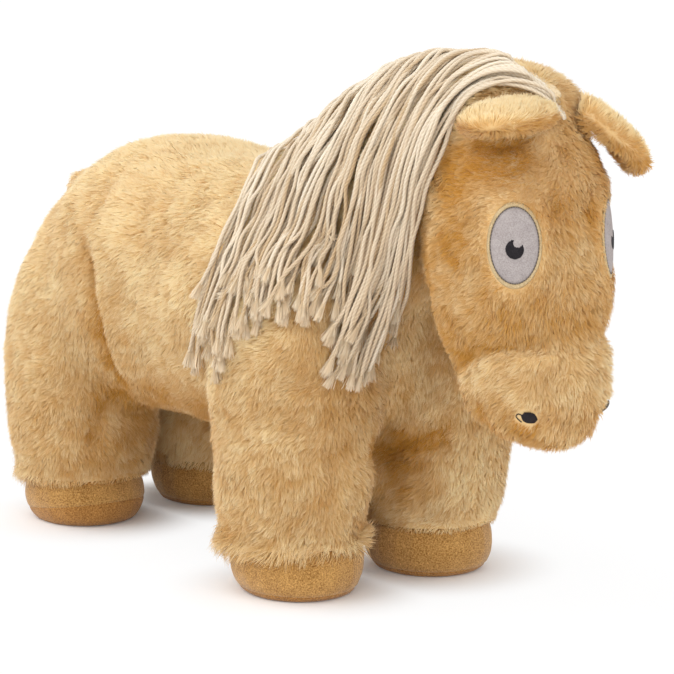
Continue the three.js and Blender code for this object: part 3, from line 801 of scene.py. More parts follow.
# %% The triangles of the coat, and the room beside the ears
triangle_mesh = bpy.data.meshes.new("coat_triangles")
coat_shape.to_mesh(triangle_mesh)
triangle_mesh.calc_loop_triangles()
coat_triangles = np.empty(len(triangle_mesh.loop_triangles) * 3, np.int32)
triangle_mesh.loop_triangles.foreach_get("vertices", coat_triangles)
coat_triangles = coat_triangles.reshape(-1, 3)
triangle_forms = np.sort(form_numbers[coat_triangles], axis=1)[:, 1]
ear_trees = [solid_tree("ear_right"), solid_tree("ear_left")]
ear_room = np.array([min(tree.find_nearest(Vector(p))[3] for tree in ear_trees) for p in coat_places])
print("the coat grows on", len(coat_triangles), "triangles")

# %% How long the fibres are
FIBRE_LENGTH = 7.0 * MM
PATCH_EDGES = {  # how far out from a sewn patch the fibres start and are full, and their share at the start
    "eye": (0.98, 1.5, 0.5),
    "nostril": (1.2, 2.4, 0.35),
}
HOOF_TUFTS = {  # how much longer the fibres over each hoof are, and how much that falls off towards the toe
    "foreleg_right": (1.0, 1.2),
    "foreleg_left": (-0.4, 0.2),
    "hindleg_right": (0.3, 0.9),
    "hindleg_left": (0.1, 0.0),
}
TUFT_LOW, TUFT_HIGH = HOOF_SEAM + 1 * MM, HOOF_SEAM + 13 * MM


def beside_patches(points, length):
    """Which fibres are clear of the sewn patches, and the lengths, which shorten towards a patch."""
    clear = np.ones(len(points), bool)
    for patch_name, patch in patches.items():
        start, full, least = PATCH_EDGES[patch_name.split("_")[0]]
        reach = patch_reach(points, patch)
        clear &= reach > start
        length = length * (least + (1 - least) * ramp(reach, start, full))
    return clear, length


def over_hoof(form, points, length):
    """The lengths near the hoof, where fibres hang over the suede, more or less towards the toe."""
    tuft = 1 - ramp(points[:, 2], TUFT_LOW, TUFT_HIGH)
    longer, falling = HOOF_TUFTS.get(form, (0, 0))
    ahead = (points[:, 0] - points[:, 0].mean()) / np.ptp(points[:, 0]) * 2
    ragged = 0.3 * noise(points, 16 * MM, 34)
    return length * (1 + tuft * (longer - falling * ahead + ragged)).clip(0.3, 2.2)


# %% How light the fibres are, with painted light and shade
FORM_LIGHT_AND_SHADE = {  # how much paler the pile of a form is painted than the others', as painted light and shade: the head darker in its shade, the far legs and the neck paler to lift theirs
    "head": -0.2, "neck": 0.1, "foreleg_right": -0.04, "foreleg_left": 0.1, "hindleg_left": 0.1,
    "body": 0.04}
MOTTLING = ((0.12, 60 * MM, 31), (0.15, 18 * MM, 32), (0.15, 7 * MM, 35))


def fibre_tone(points, ways, open_share, shaded):
    """Painted paler where a fibre sees much sky or faces up, and browner in creases, as painted light and
    shade; uneven everywhere.
    """
    tone = 0.26 + 0.50 * ramp(open_share, 0.2, 0.95) + 0.18 * ways[:, 2] - 0.5 * shaded
    return tone + sum(share * noise(points, size, seed) for share, size, seed in MOTTLING)


# %% The coat on each form
BRUSHED_BACK = np.array([-0.55, 0.0, -0.85])
DENSITY = 2.42
FIBRES_PER_PIECE = 63_000
EAR_CLEAR = 1.5 * MM
for number, form in enumerate(STUFFED):
    random = np.random.default_rng(number + 1)
    mine = coat_triangles[triangle_forms == number]
    corners, shares = sample_points(coat_places, mine, DENSITY, random)
    points = blended(coat_places, corners, shares)
    ways = unit(blended(coat_normals, corners, shares))
    shaded = blended(crease_shade, corners, shares)
    keep, length = beside_patches(points, np.full(len(points), FIBRE_LENGTH))
    length = over_hoof(form, points, length) * (1 - 0.25 * shaded)
    room = blended(ear_room, corners, shares)
    length = np.minimum(length, room * 0.9)
    keep &= room > EAR_CLEAR
    keep &= ~((points[:, 2] < TUFT_LOW) & (ways[:, 2] < -0.8))
    tone = fibre_tone(points, ways, blended(coat_open, corners, shares), shaded)
    # painted light and shade: each form's own shift, and the round spots of painted light
    tone += FORM_LIGHT_AND_SHADE.get(form, 0) + blended(painted_light_tone, corners, shares)
    points, ways, length, tone = points[keep], ways[keep], length[keep], tone[keep]
    bends, tips, tone = grow_blades(points, ways, BRUSHED_BACK, length, tone, random)
    parts = math.ceil(len(points) / FIBRES_PER_PIECE)
    for part, chosen in enumerate(np.array_split(np.argsort(points[:, 1], kind="stable"), parts)):
        name = f"pile_{form}" + (f"_{part + 1}" if parts > 1 else "")
        coat_piece = add_mesh_object(name, blade_mesh(
            name, points[chosen], bends[chosen], tips[chosen], ways[chosen], tone[chosen], random), pile)
        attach(coat_piece, TORSO)
    print("pile on", form, len(points), "fibres in", parts)

# %% [markdown]
# ## The ears
# Each ear is two small leaves of plush, sewn and turned, then folded lengthwise at its root, so that a
# groove runs along it underneath. An ear flops about its root seam.

# %% Ears
EAR_FOOT = 1.6 * MM
EAR_PILE = 6.0 * MM
EAR_VOXEL = 1.4 * MM
EAR_BRUSHED = np.array([-0.6, 0.3, 0.35])
EAR_LEAN = (0.75, 1.25)
EAR_DENSITY = DENSITY * 1.5
EAR_ROOM = 12 * MM
EAR_SETTLED = {  # how far each ear is drawn out and how far it droops, as shares of the way along it
    "right": (0.0, 0.0), "left": (0.16, 0.17)}
ear_hinges = {j["child"]: Vector(j["pos_m"]) for j in frame["joints"] if j["child"].startswith("ear")}


def ear_skin(node, hinge, outwards, stretch, droop):
    """The ear's cloth, drawn in to the foot of its shorter pile, and settled under its own weight."""
    shape = bmesh.new()
    shape.from_mesh(remeshed("ear_rough", [node], EAR_VOXEL, 0.0))
    relax(shape, shape.verts, 3)
    shape.normal_update()
    for vertex in shape.verts:
        vertex.co -= vertex.normal * EAR_FOOT
        reach = max(0.0, (vertex.co - hinge).dot(outwards)) / MM
        vertex.co += outwards * (reach * stretch * MM) - Vector((0, 0, reach * droop * MM))
    bmesh.ops.triangulate(shape, faces=shape.faces)
    return mesh_of(shape, "skin_" + node)


for side_name, side in SIDES.items():
    body = "ear_" + side_name
    random = np.random.default_rng(40 + side)
    hinge = ear_hinges[body]
    low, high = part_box(body)
    middle = (low + high) / 2
    outwards = (middle - hinge).normalized()
    skin = add_mesh_object("skin_" + body, ear_skin(body, hinge, outwards, *EAR_SETTLED[side_name]), backing)
    skin.data.shade_smooth()
    vertices = np.array([v.co for v in skin.data.vertices])
    vertex_ways = np.array([v.normal for v in skin.data.vertices])
    ear_triangles = np.array([p.vertices for p in skin.data.polygons])
    corners, shares = sample_points(vertices, ear_triangles, EAR_DENSITY, random)
    points = blended(vertices, corners, shares)
    ways = unit(blended(vertex_ways, corners, shares))
    tree = BVHTree.FromPolygons(vertices.tolist(), ear_triangles.tolist())
    open_way = np.array([tree.ray_cast(Vector(p) + Vector(w) * 0.3 * MM, Vector(w), EAR_ROOM)[0] is None
                         for p, w in zip(points, ways)])
    length = np.where(open_way, EAR_PILE, EAR_PILE * 0.45)
    # painted shade: the ear's pile is darker where it faces down and in its groove, where its way out is
    # closed
    underneath = ramp(-ways[:, 2], -0.35, 0.4)
    tone = 1.0 + 0.1 * noise(points, 18 * MM, 33) - 0.4 * ~open_way - 0.75 * underneath
    flow = EAR_BRUSHED + 0.3 * np.array(outwards)
    bends, tips, tone = grow_blades(points, ways, flow, length, tone, random, EAR_LEAN)
    fur = add_mesh_object("pile_" + body, blade_mesh(
        "pile_" + body, points, bends, tips, ways, tone, random), pile)
    for piece in (skin, fur):
        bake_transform(piece)
    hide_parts(body)
    print(body, len(points), "fibres,", round(open_way.mean(), 2), "of them in the open")

# %% [markdown]
# ## Yarn
# The mane and the tail are strands of soft cotton yarn, each of three plies twisted together, cut
# square at the end, where the twist opens into a small brush. A curve with a round bevel would be
# smooth. Here a ring with three lobes is swept along each strand and turned as it goes, so that the
# plies wind round each other.

# %% A smooth curve through a few points
def curve_points(knots, shares):
    """Points on a Catmull-Rom curve through the knots, at shares of its way from 0 to 1."""
    knots = np.asarray(knots, float)
    padded = np.concatenate([2 * knots[:1] - knots[1:2], knots, 2 * knots[-1:] - knots[-2:-1]])
    place = np.clip(np.asarray(shares) * (len(knots) - 1), 0, len(knots) - 1 - 1e-9)
    i = place.astype(int)
    t = (place - i)[:, None]
    a, b, c, d = (padded[i + k] for k in range(4))
    return 0.5 * (2 * b + (c - a) * t + (2 * a - 5 * b + 4 * c - d) * t ** 2
                  + (3 * b - a - 3 * c + d) * t ** 3)


def path_length(path):
    """How long a path of points is."""
    return np.linalg.norm(np.diff(path, axis=0), axis=1).sum()


def evenly(path, step):
    """The same path with points this far apart."""
    lengths = np.concatenate([[0], np.cumsum(np.linalg.norm(np.diff(path, axis=0), axis=1))])
    wanted = np.linspace(0, lengths[-1], max(3, round(lengths[-1] / step) + 1))
    return np.stack([np.interp(wanted, lengths, path[:, k]) for k in range(3)], axis=1)


# %% Twisted strands as one mesh
YARN_PITCH = 8.4 * MM
YARN_STEP = 0.95 * MM
YARN_LOBES = np.array([1.0, 0.9] * 3)
# painted light and shade along each strand: paler at the root, up in the light, and duller towards the tip,
# down in the shade
ROOT_PAINTED_LIGHT, TIP_PAINTED_SHADE = 0.24, -0.26


def turned_frames(path):
    """Two directions across a path at each point, carried along it without twisting."""
    along = unit(np.gradient(path, axis=0))
    side = np.cross(along[0], (0.3, 0.2, 0.9))
    sides = []
    for way in along:
        side = side - way * side.dot(way)
        side = side / np.linalg.norm(side)
        sides.append(side)
    sides = np.array(sides)
    return sides, np.cross(along, sides)


def twisted_strands(name, paths, tones, radius, random, lobes=YARN_LOBES, step=YARN_STEP, blunt=3):
    """One mesh of strands. Its map holds how light each strand is, with painted light at its root and painted
    shade towards its tip, and how far out of its grooves, which are painted darker as shade.
    """
    columns = len(lobes)
    corners, faces, charts = [], [], []
    first = 0
    for path, tone in zip(paths, tones):
        path = evenly(path, step)
        rings = len(path)
        side, rise = turned_frames(path)
        turn = (np.arange(rings) * step / YARN_PITCH + random.random())[:, None]
        turn = (turn + np.arange(columns) / columns) * 2 * np.pi
        from_end = np.minimum(np.arange(rings), np.arange(rings)[::-1]) + 1
        taper = np.sin(np.minimum(from_end, blunt) / blunt * np.pi / 2)
        thick = radius * lobes * taper[:, None]
        ring = side[:, None] * np.cos(turn)[..., None] + rise[:, None] * np.sin(turn)[..., None]
        corners.append((path[:, None] + ring * thick[..., None]).reshape(-1, 3))
        a = np.arange(rings - 1)[:, None] * columns + np.arange(columns)
        b = np.arange(rings - 1)[:, None] * columns + (np.arange(columns) + 1) % columns
        faces += (first + np.stack([a, b, b + columns, a + columns], axis=-1)).reshape(-1, 4).tolist()
        # painted shade: the grooves between the plies are darker than their ridges
        light = np.broadcast_to((lobes > 0.9) * 0.9 + 0.05, (rings - 1, columns))
        after = np.roll(light, -1, axis=1)
        height = np.stack([light, after, after, light], axis=-1)
        # painted light and shade along the strand
        painted_light_along = (tone + np.linspace(ROOT_PAINTED_LIGHT, TIP_PAINTED_SHADE, rings - 1)).clip(*TONE_ENDS)[:, None, None]
        across = np.broadcast_to(painted_light_along + np.array([-1, -1, 1, 1]) * CHART_HALF, height.shape)
        charts.append(np.stack([across, height], axis=-1).reshape(-1, 2))
        faces += [[first + i for i in reversed(range(columns))],
                  [first + (rings - 1) * columns + i for i in range(columns)]]
        charts.append(np.tile([[tone, 0.5]], (columns * 2, 1)))
        first += rings * columns
    mesh = bpy.data.meshes.new(name)
    mesh.from_pydata(np.concatenate(corners).tolist(), [], faces)
    uv = mesh.uv_layers.new(name="OFBake")
    uv.data.foreach_set("uv", np.concatenate(charts).astype(np.float32).ravel())
    mesh.shade_smooth()
    return mesh


# %% The open brush at the end of each strand
FRAY_FIBRES, FRAY_REACH, FRAY_WIDTH = 110, 9 * MM, 0.36 * MM
FRAY_SPREAD = 0.14
FRAY_PALER = 0.3


def frayed_ends(name, paths, tones, random):
    """A brush of single fibres that starts inside each strand and opens past its end."""
    starts = np.repeat([p[-1] for p in paths], FRAY_FIBRES, axis=0)
    ways = np.repeat([unit((p[-1] - p[-5])[None])[0] for p in paths], FRAY_FIBRES, axis=0)
    scatter = random.standard_normal(starts.shape)
    scatter -= ways * np.sum(scatter * ways, axis=1, keepdims=True)
    size = FRAY_REACH * (0.6 + 0.4 * random.random((len(starts), 1)))
    roots = starts - ways * 3 * MM + scatter * 0.45 * MM
    bends = starts + (ways + scatter * FRAY_SPREAD * 0.8) * size * 0.85 + scatter * 0.5 * MM
    tips = bends + (ways + scatter * FRAY_SPREAD * 1.4) * size * 0.15
    outside = np.array([skin_tree.find_nearest(Vector(p[-1]))[1] for p in paths])
    facing_out = unit(np.repeat(outside, FRAY_FIBRES, axis=0) + np.array([0, 0, 0.5]) + scatter * 0.5)
    tone = np.repeat(tones, FRAY_FIBRES) + FRAY_PALER + 0.1 * random.standard_normal(len(starts))
    return blade_mesh(name, roots, bends, tips, facing_out, tone.clip(*TONE_ENDS), random, FRAY_WIDTH)


# %% [markdown]
# ## The mane's strands
# A hundred and twenty strands are sewn along the crest and laid over the right side. Eleven
# guide strands are drawn first, as lines on the picture. Each of their points is carried along the
# camera's line of sight until it is just above the coat. The other strands lie between the guides.
# Then all are let go: a strand is a chain of points that gravity pulls down, while its links keep
# their length, the coat holds it up and its neighbours push it aside.

# %% The guide strands
CREST = np.array([  # x and z of the sewn edge, in mm, from the withers to the forehead
    (6, 231), (28, 240), (50, 251), (70, 264), (90, 271), (110, 280), (130, 285.5),
    (150, 285.5), (170, 283.5), (190, 281), (206, 273), (212, 264)])
GUIDES = [  # place of the root along the crest from 0 to 1, then points of the picture
    (0.02, [(277, 151), (240, 205), (213, 256), (196, 301), (186, 345)]),
    (0.12, [(300, 145), (262, 212), (238, 256), (222, 308), (215, 370)]),
    (0.25, [(335, 113), (305, 147), (280, 200), (262, 245), (250, 290), (246, 316)]),
    (0.37, [(380, 81), (336, 134), (305, 183), (284, 232), (270, 285), (262, 318)]),
    (0.48, [(405, 67), (365, 114), (336, 169), (314, 207), (298, 250), (292, 303)]),
    (0.58, [(430, 52), (390, 105), (356, 160), (335, 205), (324, 250), (314, 308)]),
    (0.68, [(452, 48), (410, 100), (380, 160), (361, 220), (352, 275), (335, 326)]),
    (0.77, [(475, 50), (430, 95), (400, 150), (378, 215), (356, 285), (325, 340)]),
    (0.86, [(500, 60), (450, 88), (420, 140), (398, 200), (370, 270), (341, 366)]),
    (0.94, [(529, 76), (490, 68), (450, 95), (427, 145), (408, 210), (366, 345)]),
    (1.00, [(566, 122), (540, 90), (500, 78), (462, 102), (439, 165), (417, 235), (388, 316)]),
]
GUIDE_POINTS, GUIDE_STEP, LINE_POINTS = 26, 1.0 * MM, 48
STRAND_LIFT = 7.0 * MM
MANE_REACH, MANE_STEPS = 0.17, 230
CREST_SIDE, CREST_LIFT = 4 * MM, 1.5 * MM


def above_skin(line, lift):
    """Places this near the skin on the lines of sight through a line of the picture."""
    reaches = np.linspace(DISTANCE - MANE_REACH, DISTANCE + MANE_REACH, MANE_STEPS)
    chosen = []
    for px, py in line:
        start, way = sight(px, py)
        gaps = np.array([skin_tree.find_nearest(start + way * t)[3] for t in reaches])
        near = np.flatnonzero(gaps <= lift)
        chosen.append(reaches[near[0] if len(near) else np.argmin(gaps)])
    chosen = np.array(chosen)
    for _ in range(2):
        wide = np.concatenate([chosen[:1], chosen[:1], chosen, chosen[-1:], chosen[-1:]])
        chosen = np.median(np.stack([wide[i:i + len(chosen)] for i in range(5)]), axis=0)
    return [np.array(sight(px, py)[0] + sight(px, py)[1] * t) for (px, py), t in zip(line, chosen)]


crest = np.stack([
    CREST[:, 0] * MM, np.full(len(CREST), MIDDLE_Y + CREST_SIDE), CREST[:, 1] * MM + CREST_LIFT], axis=1)
guides = []
for root_share, line in GUIDES:
    picture_line = curve_points(line, np.linspace(0, 1, GUIDE_POINTS))
    laid_line = [curve_points(crest, [root_share])[0]]
    laid_line += above_skin(picture_line, STRAND_LIFT)
    guides.append(evenly(np.array(laid_line), GUIDE_STEP))
guide_lines = np.array([curve_points(g, np.linspace(0, 1, LINE_POINTS)) for g in guides])
guide_roots = np.array([share for share, _ in GUIDES])
print("guide strands of", [round(path_length(g) / MM) for g in guides], "mm")

# %% Lay the strands
STRANDS = 120
STRAND_RADIUS = 1.2 * MM
STRAND_POINTS = 45
REACHES = (0.92, 1.0, 0.74, 0.97, 0.86, 1.0)
random = np.random.default_rng(7)
laid = []
for number in range(STRANDS):
    share = (number + 0.5) / STRANDS
    place = np.interp(share, guide_roots, np.arange(len(GUIDES)))
    stray = 0.42 * random.standard_normal()
    wave = 0.17 * np.sin(np.linspace(0, random.uniform(4, 10), STRAND_POINTS) + random.uniform(0, 6))
    reach = REACHES[number % len(REACHES)] + 0.04 * random.standard_normal()
    steps = np.linspace(0, 1, STRAND_POINTS) * min(reach, 1.02)
    between = np.clip(place + stray * steps + wave * np.minimum(1, steps * 3), 0, len(GUIDES) - 1.001)
    before = between.astype(int)
    mix = (between - before)[:, None]
    spots = np.array([curve_points(g, steps.clip(0, 1)) for g in guide_lines])
    spots = spots[np.stack([before, before + 1]), np.arange(STRAND_POINTS)]
    laid.append(spots[0] * (1 - mix) + spots[1] * mix)
laid = np.array(laid)
print("laid", len(laid), "strands,", round(np.mean([path_length(p) for p in laid]) / MM), "mm on average")

# %% Gather them in locks
PINCHES, PINCH_SHARE = 84, 0.8
SHEAF_SHARE, SHEAF_LENGTH = 0.7, 0.15
SHEAVES = [  # the first and last strand of a large lock and the place where it's drawn in, from 0 to 1
    (0.74, 0.90, 0.70), (0.90, 1.0, 0.72), (0.50, 0.58, 0.66), (0.58, 0.66, 0.8), (0.30, 0.40, 0.78),
    (0.0, 0.1, 0.8)]
along_strand = np.linspace(0, 1, STRAND_POINTS)


def draw_together(mates, where, length, share):
    """Pulls some of the strands towards their own middle, near one place along them."""
    pull = np.exp(-((along_strand - where) / length) ** 2)
    laid[mates] += (laid[mates].mean(axis=0) - laid[mates]) * share * pull[:, None]


for _ in range(PINCHES):
    first = random.integers(STRANDS - 3)
    mates = slice(first, first + random.integers(2, 6))
    draw_together(mates, random.uniform(0.35, 1.0), random.uniform(0.10, 0.20), PINCH_SHARE)
for start, stop, where in SHEAVES:
    mates = slice(round(start * STRANDS), round(stop * STRANDS))
    draw_together(mates, where, SHEAF_LENGTH, SHEAF_SHARE)
print("drawn together in", PINCHES, "small and", len(SHEAVES), "large locks")

# %% Let them hang
HOLD = 4
HANG_ROUNDS, QUICK_ROUNDS = 36, 12
SAG = np.array([0, 0, -0.12 * MM])
DRIFT, GRIP, STIFFNESS = 0.82, 0.55, 0.25
LINK_ROUNDS = 6
STRAND_APART, PUSH_SHARE = 2.1 * MM, 0.3
SKIN_SEARCH = 30 * MM


def pushed_out(points, gap):
    """Points that are too near the skin come back out along its normal, and grip it."""
    moved = points.copy()
    touched = np.zeros(len(points), bool)
    for i, point in enumerate(points):
        spot, normal, *_ = skin_tree.find_nearest(Vector(point), SKIN_SEARCH)
        if spot is None:
            continue
        height = (Vector(point) - spot).dot(normal)
        if height < gap[i]:
            moved[i] = point + np.array(normal) * (gap[i] - height)
            touched[i] = True
    return moved, touched


def hang(paths, gaps, rounds):
    """Lets chains of points sag, with their first few points held."""
    chain = np.array(paths)
    links = np.linalg.norm(np.diff(chain, axis=1), axis=2, keepdims=True)
    before = chain.copy()
    for turn in range(rounds):
        drift = (chain - before) * DRIFT
        before = chain.copy()
        chain[:, HOLD:] += drift[:, HOLD:] + SAG
        for _ in range(LINK_ROUNDS):
            for odd in (0, 1):
                gap = chain[:, 1 + odd::2] - chain[:, odd:-1:2][:, :chain[:, 1 + odd::2].shape[1]]
                length = np.linalg.norm(gap, axis=2, keepdims=True)
                fix = gap * (1 - links[:, odd::2][:, :gap.shape[1]] / length) / 2
                chain[:, odd:-1:2][:, :gap.shape[1]] += fix
                chain[:, 1 + odd::2] -= fix
            chain[:, :HOLD] = before[:, :HOLD]
        if turn % 3 == 0:
            for shift in (0, 1):
                here, there = chain[:, shift:], chain[:, :chain.shape[1] - shift]
                apart = here[:, None] - there[None]
                distance = np.linalg.norm(apart, axis=3) + np.eye(len(chain))[:, :, None]
                push = np.clip(STRAND_APART - distance, 0, None) / distance
                here += (apart * push[..., None]).sum(axis=1) * PUSH_SHARE
            chain[:, :HOLD] = before[:, :HOLD]
        flat = chain[:, HOLD:].reshape(-1, 3)
        flat, touched = pushed_out(flat, np.repeat(gaps, chain.shape[1] - HOLD))
        rest = before[:, HOLD:].reshape(-1, 3)
        flat[touched] += (rest[touched] - flat[touched]) * GRIP
        chain[:, HOLD:] = flat.reshape(chain[:, HOLD:].shape)
        bowed = (chain[:, :-2] + chain[:, 2:]) / 2 - chain[:, 1:-1]
        chain[:, HOLD:-1] += bowed[:, HOLD - 1:] * STIFFNESS
    return chain


GAP_LEAST, GAP_MOST = 4.2, 10
KINKS, KINK = 13, 0.75 * MM
mane_gaps = random.uniform(GAP_LEAST, GAP_MOST, STRANDS) * MM
mane_paths = hang(laid, mane_gaps, HANG_ROUNDS)
for path in mane_paths:
    kinks = curve_points(KINK * random.standard_normal((KINKS, 3)), along_strand)
    path += kinks * np.minimum(1, along_strand * 4)[:, None]
print("the mane hangs to", round(mane_paths[..., 2].min() / MM), "mm above the floor")

# %% Yarn material
# each ramp runs from the grooves between the plies, painted darker as shade, to the ridges
DULL_YARN = [(0.0, srgb(182, 150, 110)), (1.0, srgb(216, 190, 152))]
PALE_YARN = [(0.0, srgb(236, 220, 194)), (1.0, srgb(252, 242, 224))]
FRAY_ROOT = srgb(244, 226, 194)
yarn, _, yarn_links, yarn_shader = new_material("cotton_yarn")
yarn_paleness, yarn_height = chart_numbers(yarn.node_tree)
yarn_colour = two_dyes(yarn.node_tree, yarn_paleness, yarn_height, DULL_YARN, PALE_YARN)
yarn_links.new(yarn_colour, yarn_shader.inputs["Base Color"])
yarn_shader.inputs["Roughness"].default_value = 0.8
yarn_shader.inputs["Specular IOR Level"].default_value = 0.2
yarn_shader.inputs["Sheen Weight"].default_value = 0.2

# %% The material of the open ends
yarn_ends = yarn.copy()
yarn_ends.name = "cotton_fibres"
let_light_through(yarn_ends, yarn_ends.node_tree.nodes["Principled BSDF"], 0.42)
for node in yarn_ends.node_tree.nodes:
    if node.bl_idname == "ShaderNodeValToRGB":
        node.color_ramp.elements[0].color = FRAY_ROOT

# %% Mane on the scene
strand_tones = (0.52 + 0.22 * random.standard_normal(STRANDS)).clip(0.03, 0.97)
for part, chosen in enumerate(np.array_split(np.arange(STRANDS), 2)):
    name = f"mane_strands_{part + 1}"
    strands = add_mesh_object(name, twisted_strands(
        name, mane_paths[chosen], strand_tones[chosen], STRAND_RADIUS, random), yarn)
    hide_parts("mane")
    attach(strands, TORSO)
    print(name, len(strands.data.polygons), "faces")
mane_brush = add_mesh_object("mane_frayed_ends", frayed_ends(
    "mane_frayed_ends", mane_paths, strand_tones, random), yarn_ends)
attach(mane_brush, TORSO)

# %% [markdown]
# ## The tail
# The tail is the same yarn, sewn in a bundle under a small roll of cloth and hanging free. It could be
# hung like the mane, but it lies on nothing, so a curve for the whole bundle gives the same fall. It
# swings up from the roll, so all its pieces ride on the tail's body.

# %% Tail strands
TAIL = "tail"
TAIL_WIDE, TAIL_DEEP = 12, 4
TAIL_POINTS = 40
TAIL_WANDER = 1.6 * MM
TAIL_KNOTS = np.array([  # x, z, half depth; middle and half width across, all in mm
    (-209, 187, 2.5, 2.5, 13), (-219, 162, 5, 3.6, 17), (-223, 122, 9, 6, 24), (-218, 78, 9, 11, 31),
    (-211, 44, 8, 15, 35), (-207, 16, 7, 17, 37)]) * MM
random = np.random.default_rng(11)
tail_steps = np.linspace(0, 1, TAIL_POINTS)
tail_paths = []
for number in range(TAIL_WIDE * TAIL_DEEP):
    across = ((number % TAIL_WIDE) / (TAIL_WIDE - 1) * 2 - 1) + 0.05 * random.standard_normal()
    within = ((number // TAIL_WIDE) / (TAIL_DEEP - 1) * 2 - 1) + 0.1 * random.standard_normal()
    x, z, half_depth, middle, half_width = curve_points(
        TAIL_KNOTS, np.linspace(0, 1 - 0.04 * random.random(), TAIL_POINTS)).T
    wander = np.sin(tail_steps * random.uniform(2, 5) + random.uniform(0, 6)) * TAIL_WANDER
    wander *= tail_steps
    tail_paths.append(np.stack([
        x - within * half_depth + wander * 0.7,
        middle + across * half_width * (1 - 0.12 * abs(within)) + wander,
        z], axis=1))
tail_tones = (0.42 + 0.22 * random.standard_normal(len(tail_paths))).clip(0.05, 0.95)
tail = add_mesh_object("tail_strands", twisted_strands(
    "tail_strands", tail_paths, tail_tones, STRAND_RADIUS, random), yarn)
tail_brush = add_mesh_object("tail_frayed_ends", frayed_ends(
    "tail_frayed_ends", tail_paths, tail_tones, random), yarn_ends)
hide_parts(TAIL)
for piece in (tail, tail_brush):
    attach(piece, TAIL)
print("tail", len(tail.data.polygons), "faces")

# %% [markdown]
# ## Grain
# Felt, suede cloth, tape and thread all have a fine uneven grain, each at its own scale. Pictures of
# cloth could be wrapped round the pieces, but noise has no edges that must meet. One node group gives
# it to all of them: a mask to vary the colour, and a height for a Bump node.

# %% The grain as a node group
grain_group = bpy.data.node_groups.new("cloth_grain", "ShaderNodeTree")
for socket_name in ("Fine Scale", "Patch Scale", "Patch Share"):
    grain_group.interface.new_socket(socket_name, in_out="INPUT", socket_type="NodeSocketFloat")
for socket_name in ("Mask", "Height"):
    grain_group.interface.new_socket(socket_name, in_out="OUTPUT", socket_type="NodeSocketFloat")
grain_in = grain_group.nodes.new("NodeGroupInput")
grain_out = grain_group.nodes.new("NodeGroupOutput")
grain_place = grain_group.nodes.new("ShaderNodeTexCoord")
fine_noise = grain_group.nodes.new("ShaderNodeTexNoise")
fine_noise.inputs["Detail"].default_value = 3
patch_noise = grain_group.nodes.new("ShaderNodeTexNoise")
patch_noise.inputs["Detail"].default_value = 2
grain_mix = grain_group.nodes.new("ShaderNodeMix")
for noise_node, scale_name in ((fine_noise, "Fine Scale"), (patch_noise, "Patch Scale")):
    grain_group.links.new(grain_place.outputs["Object"], noise_node.inputs["Vector"])
    grain_group.links.new(grain_in.outputs[scale_name], noise_node.inputs["Scale"])
grain_group.links.new(grain_in.outputs["Patch Share"], grain_mix.inputs["Factor"])
grain_group.links.new(fine_noise.outputs["Fac"], grain_mix.inputs["A"])
grain_group.links.new(patch_noise.outputs["Fac"], grain_mix.inputs["B"])
grain_group.links.new(grain_mix.outputs["Result"], grain_out.inputs["Mask"])
grain_group.links.new(fine_noise.outputs["Fac"], grain_out.inputs["Height"])


def grained(name, dark, light, fine, patch, share, depth, roughness=0.9, sheen=0.0):
    """A cloth whose colour runs from dark to light with its grain, and whose surface follows it."""
    made, made_nodes, made_links, shader = new_material(name)
    grain = made_nodes.new("ShaderNodeGroup")
    grain.node_tree = grain_group
    grain.inputs["Fine Scale"].default_value = fine
    grain.inputs["Patch Scale"].default_value = patch
    grain.inputs["Patch Share"].default_value = share
    dyes = colour_ramp(made.node_tree, [(0.32, srgb(*dark)), (0.68, srgb(*light))])
    bump = made_nodes.new("ShaderNodeBump")
    bump.inputs["Strength"].default_value = 0.8
    bump.inputs["Distance"].default_value = depth
    made_links.new(grain.outputs["Mask"], dyes.inputs["Fac"])
    made_links.new(dyes.outputs["Color"], shader.inputs["Base Color"])
    made_links.new(grain.outputs["Height"], bump.inputs["Height"])
    made_links.new(bump.outputs["Normal"], shader.inputs["Normal"])
    shader.inputs["Roughness"].default_value = roughness
    shader.inputs["Specular IOR Level"].default_value = 0.2
    shader.inputs["Sheen Weight"].default_value = sheen
    return made


suede = grained("suede_cloth", (128, 84, 32), (210, 164, 96), 1250, 90, 0.16, 0.4 * MM, 0.95, 0.3)
sole_suede = grained("sole_cloth", (120, 76, 28), (196, 144, 78), 1250, 90, 0.16, 0.4 * MM, 0.95, 0.2)
eye_felt = grained("eye_felt", (142, 133, 131), (180, 171, 168), 1500, 160, 0.3, 0.12 * MM)
rim_felt = grained("rim_felt", (162, 138, 100), (208, 186, 146), 1500, 160, 0.3, 0.12 * MM)
black_thread = grained("black_thread", (14, 11, 14), (46, 40, 44), 2600, 300, 0.2, 0.05 * MM, 0.55)
grey_thread = grained("grey_thread", (70, 62, 58), (120, 110, 102), 2600, 300, 0.2, 0.05 * MM, 0.7)
tape_cloth = grained("tape_cloth", (196, 170, 130), (240, 222, 190), 1900, 120, 0.3, 0.15 * MM)

# %% [markdown]
# ## The feet
# A foot is a short, plump roll of suede cloth with a sole sewn under it. A Bevel modifier would round
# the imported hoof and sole, but each by itself, with a gap at the seam. So they are joined and remeshed
# first, and filling rounds the lower edge. A groove is pressed in along the sole seam, and the two
# cloths are cut apart there. On the right hind foot the seam climbs towards the toe.

# %% Feet
FOOT_VOXEL = 1.3 * MM
FOOT_GROWN = 0.3 * MM
FOOT_ROUNDS, FOOT_RELAXED = 10, 14 * MM
SOLE_EDGE = 3.5 * MM
SEAM_WIDTH, SEAM_DEPTH = 1.4 * MM, 0.5 * MM
TOE_ROUND, TOE_HEIGHT = 7 * MM, 15 * MM
SOLE_FLAT = -0.9

